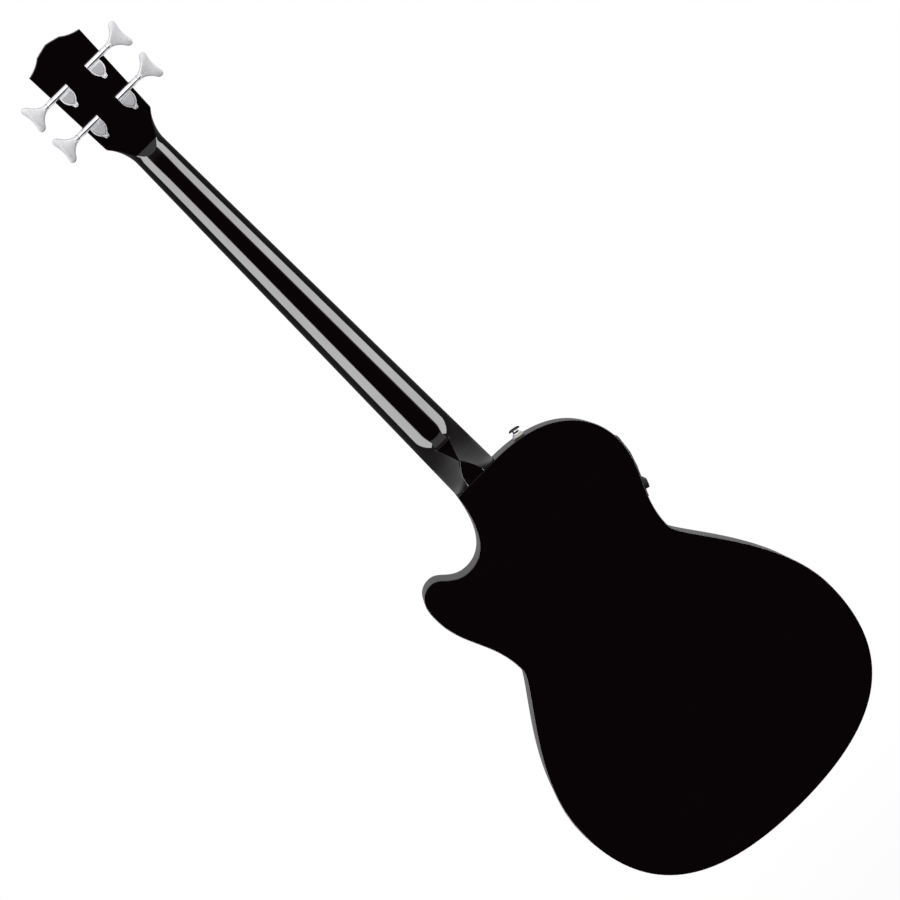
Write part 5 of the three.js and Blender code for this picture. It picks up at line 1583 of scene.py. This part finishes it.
def gear_cover():
    """The shield-shaped cover with a bright rim and a sunk face."""
    top = COVER_BASE + COVER_HEIGHT
    piece = layered("gear_cover", cover_outline(), (
        (0, COVER_BASE), (0, top - 1.6), (0.15, top - 0.9), (0.5, top - 0.3), (0.95, top),
        (1.35, top), (1.6, top - 0.6), (2.2, top - 0.6)), POST_PLACE)
    wheel = rod_cutter(WHEEL_RADIUS + SEAT_GAP, (POST_PLACE, COVER_BASE - 6, -GEAR_OFFSET),
                       (POST_PLACE, COVER_BASE + 5.1, -GEAR_OFFSET))
    worm = rod_cutter(WORM_BORE, (WORM_TUBE_ENDS[0], WORM_AXIS, 0), (60, WORM_AXIS, 0))
    cut_away(piece, wheel, worm)
    return piece


def cover_face():
    """The satin plate let into the cover."""
    top = COVER_BASE + COVER_HEIGHT
    return layered("cover_face", cover_outline(), (
        (1.75, top - 0.6), (1.75, top - 0.35), (1.9, top - 0.25), (2.3, top - 0.2),
        (3, top - 0.2)), POST_PLACE)


def cover_ear():
    """The low tab that carries the cover's screw."""
    plan = mirrored_plan([(4.4, -16.4), (4.1, -18.4), (3.5, -19.9), (3.1, -21), (2.95, -22),
                          (2.5, -23), (1.7, -23.7), (0.6, -24)])
    top = COVER_BASE + COVER_HEIGHT - 2.2
    return layered("cover_ear", plan, (
        (0, COVER_BASE), (0, top - 0.8), (0.15, top - 0.3), (0.5, top)), POST_PLACE)


def worm_tube():
    """The sleeve that carries the worm, with its closed inner end and a turned collar."""
    inner, outer = WORM_TUBE_ENDS
    radius = WORM_TUBE_RADIUS
    profile = [
        (0, inner), (radius - 0.7, inner), (radius - 0.2, inner + 0.3), (radius, inner + 0.8),
        (radius, outer - 9), (radius - 0.5, outer - 8.6), (radius - 0.5, outer - 8),
        (radius - 0.15, outer - 7.6), (radius - 0.55, outer - 1.2), (radius - 0.8, outer - 0.2),
        (radius - 1, outer), (WORM_BORE, outer), (WORM_BORE, inner + 1.2), (0, inner + 1.2)]
    return turned("worm_tube", profile, Matrix.Translation((0, WORM_AXIS * MM, 0)), 32)


def base_plate():
    """The thin plate between the tube and the head, seen as a dark line along the tube."""
    piece = box_cutter((WORM_TUBE_ENDS[0], COVER_BASE, -3.2), (33.5, COVER_BASE + 2.2, 3.6))
    soften(piece, 0.5)
    return piece


def ear_screw():
    """A small round-head screw with a crossed recess."""
    place = facing_back(POST_PLACE, COVER_BASE + COVER_HEIGHT - 2, EAR_SCREW_PLACE)
    head = turned("screw", [(0, -1), (1.9, -1), (1.9, 0.3), (1.6, 0.75), (0.9, 1.0), (0, 1.08)],
                  place, 24)
    cut_away(head, *crossed_slots(0.4, 2, 1.5, 0.22, place))
    return head


def paddle_outline():
    """The fan-shaped key in plan, anticlockwise, in shares of its reach and half width."""
    half = [(0, 0.185), (0.08, 0.19), (0.16, 0.215), (0.26, 0.27), (0.36, 0.35), (0.46, 0.46),
            (0.55, 0.6), (0.6, 0.71), (0.65, 0.84), (0.7, 0.93), (0.765, 0.985), (0.83, 1.0),
            (0.9, 0.985), (0.955, 0.94), (0.99, 0.86), (1.0, 0.77), (0.985, 0.66),
            (0.955, 0.5), (0.93, 0.3), (0.92, 0.12)]
    right = [(PADDLE_START + PADDLE_LENGTH * reach, PADDLE_HALF_WIDTH * spread)
             for reach, spread in half]
    rough = [*((x, -z) for x, z in right), *right[::-1]]
    smooth = []
    for number, place in enumerate(rough):
        before, after = rough[number - 1], rough[(number + 1) % len(rough)]
        if 0 < number < len(rough) - 1:
            place = tuple((a + 2 * b + c) / 4 for a, b, c in zip(before, place, after))
        smooth.append(place)
    return smooth


def key_paddle():
    """The fan with pillowed edges."""
    half = PADDLE_THICKNESS / 2
    return layered("key_paddle", paddle_outline(), (
        (1.7, -half), (0.95, -half + 0.12), (0.4, -half + 0.5), (0.08, -half + 1.2), (0, 0),
        (0.08, half - 1.2), (0.4, half - 0.5), (0.95, half - 0.12), (1.7, half)), base=WORM_AXIS)


def key_shaft():
    """The worm on its shaft, with the collar that carries the fan."""
    worm = []
    turns = 9
    start, end = POST_PLACE - 7, POST_PLACE + 7
    for i in range(turns * 2 + 1):
        worm.append((2.75 if i % 2 else 2.35, between(start, end, i / (turns * 2))))
    profile = [(0, 16.1), (2.2, 16.1), (2.3, 16.3), *worm, (2.3, end + 0.2),
               (2.3, PADDLE_START - 0.7), (3.5, PADDLE_START - 0.4), (3.75, PADDLE_START + 0.4),
               (3.75, PADDLE_START + 1.2), (2.7, PADDLE_START + 1.3), (2.7, PADDLE_START + 2),
               (3.5, PADDLE_START + 2.1), (3.45, PADDLE_START + 2.7), (2.9, PADDLE_START + 4.5),
               (1.6, PADDLE_START + 7.5), (0, PADDLE_START + 8.5)]
    return turned("key_shaft", profile, Matrix.Translation((0, WORM_AXIS * MM, 0)), 24)


def tuner_post():
    """The string post with its wheel and slot."""
    foot = COVER_BASE + SEAT_GAP + 4.5
    top = POST_HEIGHT
    rings = [
        (0, foot), (WHEEL_RADIUS - 0.4, foot), (WHEEL_RADIUS, foot - 0.4),
        (WHEEL_RADIUS, COVER_BASE + 0.7), (WHEEL_RADIUS - 0.4, COVER_BASE + SEAT_GAP),
        (5, COVER_BASE + SEAT_GAP), (5, -3), (4.6, -3.4), (4.1, -4.3), (POST_RADIUS, -5),
        (POST_RADIUS, 4.5 - top),
        (4.3, 3.9 - top), (4.9, 2.6 - top), (5.2, 1.8 - top), (5.2, 0.5 - top), (4.9, 0.1 - top),
        (4.6, -top), (0, -top)]
    piece = turned("string_post", rings, facing_back(POST_PLACE, 0, -GEAR_OFFSET), 36)
    slot = box_cutter((POST_PLACE - 1.4, -top - 5, -GEAR_OFFSET - 8),
                      (POST_PLACE + 1.4, -top + 6, -GEAR_OFFSET + 8))
    cut_away(piece, slot)
    return piece


def tuner_bushing():
    """The flanged bush in the headstock's face."""
    profile = [(5.3, 11), (6.2, 11), (6.2, -0.3), (7.5, -0.3), (7.75, -0.6), (7.75, -1.3),
               (7.4, -1.8), (6.6, -2.5), (6, -2.7), (5.5, -2.7), (5.3, -2.5)]
    return turned("post_bush", profile, facing_back(POST_PLACE, 0, -GEAR_OFFSET), 36, hollow=True)


class BASS_OT_tuners(bpy.types.Operator):
    """Build the four tuners, from one set of pieces"""

    bl_idname = "bass.tuners"
    bl_label = "Tuners"

    def execute(self, context):
        housing = joined([worm_tube(), base_plate()], "tube_and_plate")
        cover = joined([gear_cover(), cover_ear()], "cover")
        kit = (
            (cover, "gear_cover", "chrome", "satin_nickel", "tuner_housing", "instrument", 30),
            (cover_face(), "cover_face", "cover_face", "satin_nickel", None, "instrument", 30),
            (housing, "worm_housing", "chrome", "satin_nickel", None, "instrument", 30),
            (ear_screw(), "ear_screw", "chrome", "chrome", None, "instrument", 40),
            (key_paddle(), "key_paddle", "satin_nickel", "satin_nickel", "tuner_key", "key", 50),
            (key_shaft(), "key_shaft", "chrome", "chrome", None, "key", 40),
            (tuner_post(), "string_post", "chrome", "chrome", "tuner_post", "post", 40),
            (tuner_bushing(), "post_bush", "chrome", "chrome", "tuner_bushing", "instrument", 40),
        )
        for side, word in ((-1, "bass"), (1, "treble")):
            for along, level in zip(TUNERS_ALONG, ("lower", "upper")):
                place = HEAD_FRAME @ Matrix.Translation((0, 0, along * MM)) @ Matrix.Diagonal(
                    (side, 1, 1, 1))
                label = f"{word}_{level}"
                for piece, name, finish, slot, node, body, smooth in kit:
                    twin = copied(piece, f"{name}_{label}", place)
                    rides_on = body if body == "instrument" else f"{body}_{label}"
                    finished(twin, finish, [f"{node}_{label}"] if node else (),
                             rides_on, smooth)
        for row in kit:
            bpy.data.objects.remove(row[0])
        return {"FINISHED"}


# Strap button, end pin and preamp

class BASS_OT_strap_pins(bpy.types.Operator):
    """Build the strap button with its washer and screw, and the end pin jack"""

    bl_idname = "bass.strap_pins"
    bl_label = "Strap button and end pin"

    def execute(self, context):
        place = strap_frame()
        low, high = STRAP_BUTTON_ENDS
        washer = turned("felt_washer", [
            (2.2, 0.3), (6.4, 0.3), (7.0, 0.7), (7.25, 1.6), (7.2, 2.6), (6.8, 3.3), (6.2, 3.6),
            (2.2, 3.6)], place, 40, hollow=True)
        finished(washer, "felt", ["strap_button_washer"])
        button = turned("strap_peg", [
            (2.1, low), (5.2, low), (5.5, low + 0.3), (5.45, low + 0.9), (4.6, low + 1.9),
            (3.7, low + 3), (3.45, low + 4), (3.6, low + 4.9), (3.6, high - 2.3),
            (2.1, high - 2.3)], place, 48, hollow=True)
        finished(button, "chrome", ["strap_button"], smooth=40)
        flange = turned("strap_flange", [
            (3.65, low + 4.9), (4.9, low + 5), (6.3, low + 4.9), (6.9, low + 4.95),
            (7.2, low + 5.2), (7.25, low + 5.6), (7.05, low + 6.2), (6.4, low + 6.9),
            (5.5, low + 7.4), (4.6, high - 0.05), (3.8, high), (3.65, high - 0.2)],
            place, 48, hollow=True)
        # The flange's darkened chrome is a painted dark reflection, not a black plating.
        finished(flange, "chrome_painted_dark_reflection", smooth=40)
        screw = turned("strap_screw", [
            (0, -16.4), (1.5, -13), (1.8, -12.5), (1.8, high - 2.2), (3.1, high - 2.2),
            (3.1, high - 1.3), (2.6, high - 0.7), (1.6, high - 0.35), (0, high - 0.2)], place, 32)
        cut_away(screw, *crossed_slots(high - 1.2, high, 2, 0.35, place))
        finished(screw, "steel", ["strap_button_screw"], smooth=40)
        down = Matrix.Translation((0, DEPTH_AT_TAIL / 2 * MM, BODY_TAIL * MM)) @ Matrix.Rotation(
            math.pi / 2, 4, "Y")
        jack = turned("end_pin", [
            (3.3, -34), (5.6, -34), (6, -33.6), (6, 0.3), (7.6, 0.3), (8, 0.7), (8, 1.7),
            (7.4, 2.4), (6.1, 3.2), (5.5, 4.4), (5.5, 6), (6.2, 7.2), (7.5, 8), (8, 8.7),
            (8, 9.6), (7.6, 10.1), (6.8, 10.3), (3.7, 10.3), (3.3, 9.9)], down, 48, hollow=True)
        finished(jack, "chrome", ["end_pin_jack"], smooth=40)
        return {"FINISHED"}


def ribbed_knob(place):
    """A small knob with grip ribs and a domed end."""
    rings = []
    for radius, reach, grip in (
            (0, -13.4, 0), (3, -13.4, 0), (3, 0, 0), (5.6, 0, 0), (6.2, 0.3, 0), (6.25, 0.8, 1),
            (6.1, 3.4, 1), (5.85, 4.2, 0.6), (5.3, 4.75, 0), (4.4, 5, 0), (4.1, 4.85, 0), (0, 4.8, 0)):
        notches = [KNOB_NOTCH * grip if i % 3 == 0 else 0 for i in range(KNOB_SIDES)]
        rings.append(round_ring([radius - notch for notch in notches], reach, place))
    return lofted("knob", rings, capped=False)


class BASS_OT_preamp(bpy.types.Operator):
    """Build the preamp panel, housing, battery, door, knobs and push button"""

    bl_idname = "bass.preamp"
    bl_label = "Preamp"

    def execute(self, context):
        for node, name, finish, *edge in (
                ("preamp_panel", "control_panel", "preamp_plastic", 0.5, 3, 50),
                ("battery_door", "battery_cover", "preamp_plastic", 0.4, 3, 50, "door"),
                ("preamp_housing", "control_box", "preamp_plastic", 0.8),
                ("battery", "block_battery", "battery_case", 1.2)):
            dressed(node, name, finish, *edge)
        for control in ("volume", "bass", "treble"):
            place = control_frame(f"{control}_turn")
            body = f"{control}_control"
            knob = ribbed_knob(place)
            knob.name = f"{control}_dial"
            finished(knob, "black_plastic", [f"{control}_knob"], body, 30)
            mark = box_cutter((4.7, -0.35, 1.2), (4.95, 0.35, 4), place)
            mark.name = f"{control}_pointer"
            finished(mark, "ivory_plastic", (), body)
        place = out_frame(MM * Vector(PUSH_BUTTON_TOP), JOINTS["volume_turn"]["axis"])
        button = turned("push_cap", [
            (0, -14.2), (2.9, -14.2), (2.9, -0.4), (2.7, -0.1), (2.3, 0), (1.6, -0.15), (0, -0.3)],
            place, 32)
        finished(button, "black_plastic", ["tuner_push_button"],
                 "push_control", 40)
        return {"FINISHED"}


# Stage

def look_at(thing, place, aim):
    """Put a lamp or camera at a place and point it at another."""
    thing.location = place
    thing.rotation_mode = "QUATERNION"
    thing.rotation_quaternion = (Vector(aim) - Vector(place)).to_track_quat("-Z", "Y")


def add_lamp(name, place, aim, size, radiance):
    """A soft rectangular lamp."""
    put_down()
    bpy.ops.object.light_add(type="AREA")
    lamp = bpy.context.object
    lamp.name = name
    lamp.data.shape = "RECTANGLE"
    lamp.data.size, lamp.data.size_y = size
    lamp.data.energy = math.pi * size[0] * size[1] * radiance
    look_at(lamp, place, aim)
    return lamp


def add_mirrored_lamp(name, place, aim, size, radiance, receivers, soft):
    """A lamp with soft edges that shows only as a reflection in the lacquer."""
    lamp = add_lamp(name, place, aim, size, radiance)
    lamp.visible_diffuse = False
    lamp.visible_camera = False
    lamp.light_linking.receiver_collection = receivers
    lamp.data.use_nodes = True
    tree = lamp.data.node_tree
    face = add_node(tree, "ShaderNodeNewGeometry")
    split = add_node(tree, "ShaderNodeSeparateXYZ", {"Vector": face.outputs["Parametric"]})
    fades = []
    for axis, edge in zip("XY", soft):
        inward = reckoned(tree, "PINGPONG", split.outputs[axis], 0.5)
        fade = add_node(tree, "ShaderNodeMapRange", {
            "Value": inward, "From Min": 0.0, "From Max": edge}, interpolation_type="SMOOTHSTEP")
        fades.append(fade.outputs["Result"])
    tree.links.new(times(tree, *fades), tree.nodes["Emission"].inputs["Strength"])


def background_mask(tree):
    """One for rays that see the background, nought for rays that light the object."""
    path = add_node(tree, "ShaderNodeLightPath")
    seen = most(tree, path.outputs["Is Camera Ray"], path.outputs["Is Glossy Ray"])
    return most(tree, seen, path.outputs["Is Transmission Ray"])


def make_room(scene, level):
    """A white world, dimmer for the light that falls on the object."""
    world = bpy.data.worlds.new("White room")
    scene.world = world
    world.use_nodes = True
    tree = world.node_tree
    background = tree.nodes["Background"]
    background.inputs["Color"].default_value = (1, 1, 1, 1)
    strength = ranged(tree, background_mask(tree), 0, 1, level, 1)
    tree.links.new(strength, background.inputs["Strength"])


def make_floor(height):
    """A pale floor that fades into the white room but keeps the shadow."""
    put_down()
    bpy.ops.mesh.primitive_circle_add(vertices=96, radius=FLOOR_RADIUS, fill_type="NGON")
    floor = bpy.context.object
    floor.name = "floor"
    floor.data.transform(Matrix.Translation((0, 0, height)))
    finish, tree = new_material("Pale floor")
    shader = tree.nodes["Principled BSDF"]
    shader.inputs["Roughness"].default_value = 0.9
    colour = mixed(tree, noise(tree, 30.0, 4.0), (0.8, 0.8, 0.8, 1), (0.84, 0.84, 0.83, 1))
    tree.links.new(colour, shader.inputs["Base Color"])
    glow = add_node(tree, "ShaderNodeEmission", {"Color": (1, 1, 1, 1)})
    fading = ranged(tree, distance_from(tree, (0, 0, 0), (1, 1, 0)), *FLOOR_FADE, *FLOOR_SHARE)
    blend = add_node(tree, "ShaderNodeMixShader", {
        0: times(tree, background_mask(tree), fading), 1: shader.outputs["BSDF"],
        2: glow.outputs["Emission"]})
    tree.links.new(blend.outputs[0], tree.nodes["Material Output"].inputs["Surface"])
    floor.data.materials.append(finish)
    floor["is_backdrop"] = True


def make_lamps(settings):
    """Large key lamps for the woods and metals, and lamps that the lacquer mirrors."""
    lacquered = bpy.data.collections.new("lacquered")
    others = bpy.data.collections.new("woods and metals")
    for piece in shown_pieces():
        glossy = FINISHES["black_lacquer"] in piece.data.materials[:]
        (lacquered if glossy else others).objects.link(piece)
    for name, place, size in KEY_LAMPS:
        lamp = add_lamp(name, place, KEY_AIM, size, settings.key_level)
        lamp.light_linking.receiver_collection = others
    for side, word, inner, outer in STRIP_ANGLES:
        middle = math.radians((inner + outer) / 2)
        width = 2 * STRIP_DISTANCE * math.tan(math.radians((outer - inner) / 2))
        place = (side * STRIP_DISTANCE * math.sin(middle), STRIP_DISTANCE * math.cos(middle),
                 STRIP_MIDDLE)
        add_mirrored_lamp(f"strip_{word}", place, (0, 0, STRIP_MIDDLE), (width, STRIP_HEIGHT),
                          settings.strip_level, lacquered, (0.09, 0.04))
        add_mirrored_lamp(f"wing_{word}", (side * 1.15, -0.4, 1.4), (0, 0, -0.5), (1.3, 1.3),
                          settings.top_level, lacquered, (0.2, 0.2))
    add_mirrored_lamp("top_panel", (0, 1.75, 1.05), (0, 0, -0.47), (2.6, 2.2),
                      settings.top_level, lacquered, (0.2, 0.08))


def make_card(level):
    """A dim card over the floor and behind the camera, seen only in reflections."""
    put_down()
    bpy.ops.mesh.primitive_plane_add(size=2)
    card = bpy.context.object
    card.name = "dark_card"
    corners = [(x, y, CARD_FOOT) for y in CARD_REACH for x in (-CARD_HALF_WIDTH, CARD_HALF_WIDTH)]
    for vertex, corner in zip(card.data.vertices, corners):
        vertex.co = corner
    bpy.ops.object.mode_set(mode="EDIT")
    bpy.ops.mesh.select_mode(type="EDGE")
    bpy.ops.mesh.select_all(action="DESELECT")
    draft = bmesh.from_edit_mesh(card.data)
    far = max(draft.edges, key=lambda edge: sum(corner.co.y for corner in edge.verts))
    far.select_set(True)
    bpy.ops.mesh.extrude_region_move(TRANSFORM_OT_translate={"value": (0, 0, CARD_HEIGHT)})
    leave_mesh()
    finish, tree = new_material("Dark card")
    glow = add_node(tree, "ShaderNodeEmission", {"Strength": level})
    tree.links.new(mixed(tree, noise(tree, 3.0, 2.0), (0.92, 0.92, 0.92, 1), (1, 1, 1, 1)),
                   glow.inputs["Color"])
    tree.links.new(glow.outputs[0], tree.nodes["Material Output"].inputs["Surface"])
    card.data.materials.append(finish)
    for ray in ("camera", "diffuse", "transmission", "shadow"):
        setattr(card, f"visible_{ray}", False)
    card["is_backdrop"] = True


def make_camera(scene):
    """The camera at the photograph's place, rolled as the photograph is."""
    put_down()
    bpy.ops.object.camera_add()
    camera = bpy.context.object
    camera.name = "camera"
    look_at(camera, CAMERA_PLACE, CAMERA_AIM)
    camera.rotation_quaternion = camera.rotation_quaternion @ Quaternion(
        (0, 0, 1), math.radians(CAMERA_ROLL))
    camera.data.lens = CAMERA_LENS
    camera.data.sensor_width = 36
    camera.data.clip_start = 0.1
    camera.data.clip_end = 60
    scene.camera = camera


class BASS_OT_stage(bpy.types.Operator):
    """Build the white room, the floor, the lamps and the camera"""

    bl_idname = "bass.stage"
    bl_label = "Stage"

    def execute(self, context):
        settings = context.scene.bass_stage
        make_room(context.scene, settings.sky_level)
        make_floor(settings.floor_height)
        make_lamps(settings)
        make_card(settings.card_level)
        make_camera(context.scene)
        context.scene.view_settings.view_transform = "Standard"
        return {"FINISHED"}


class BASS_OT_finishes(bpy.types.Operator):
    """Make every material of the instrument"""

    bl_idname = "bass.finishes"
    bl_label = "Finishes"

    def execute(self, context):
        make_finishes(context.scene.bass_colours, context.scene.bass_sizes)
        return {"FINISHED"}


OPERATORS = (
    BASS_OT_finishes, BASS_OT_body, BASS_OT_inside, BASS_OT_neck, BASS_OT_fingerboard,
    BASS_OT_front, BASS_OT_strings, BASS_OT_tuners, BASS_OT_strap_pins, BASS_OT_preamp,
    BASS_OT_stage)


class BASS_PT_panel(bpy.types.Panel):
    """Lists the instrument's operators and settings"""

    bl_idname = "BASS_PT_panel"
    bl_label = "Bass guitar"
    bl_space_type = "VIEW_3D"
    bl_region_type = "UI"
    bl_category = "Bass guitar"

    def draw(self, context):
        for operator in OPERATORS:
            self.layout.operator(operator.bl_idname)
        for group in (context.scene.bass_colours, context.scene.bass_sizes,
                      context.scene.bass_stage):
            box = self.layout.box()
            for key in group.bl_rna.properties.keys():
                if key not in ("rna_type", "name"):
                    box.prop(group, key)


CLASSES = (FinishColours, PieceSizes, StageSettings, *OPERATORS, BASS_PT_panel)


def register():
    for item in CLASSES:
        bpy.utils.register_class(item)
    bpy.types.Scene.bass_colours = PointerProperty(type=FinishColours)
    bpy.types.Scene.bass_sizes = PointerProperty(type=PieceSizes)
    bpy.types.Scene.bass_stage = PointerProperty(type=StageSettings)


def unregister():
    del bpy.types.Scene.bass_stage
    del bpy.types.Scene.bass_sizes
    del bpy.types.Scene.bass_colours
    for item in reversed(CLASSES):
        bpy.utils.unregister_class(item)


def main():
    """Register and run every operator in order."""
    register()
    for operator in OPERATORS:
        group, name = operator.bl_idname.split(".")
        getattr(getattr(bpy.ops, group), name)()


if __name__ == "__main__":
    main()
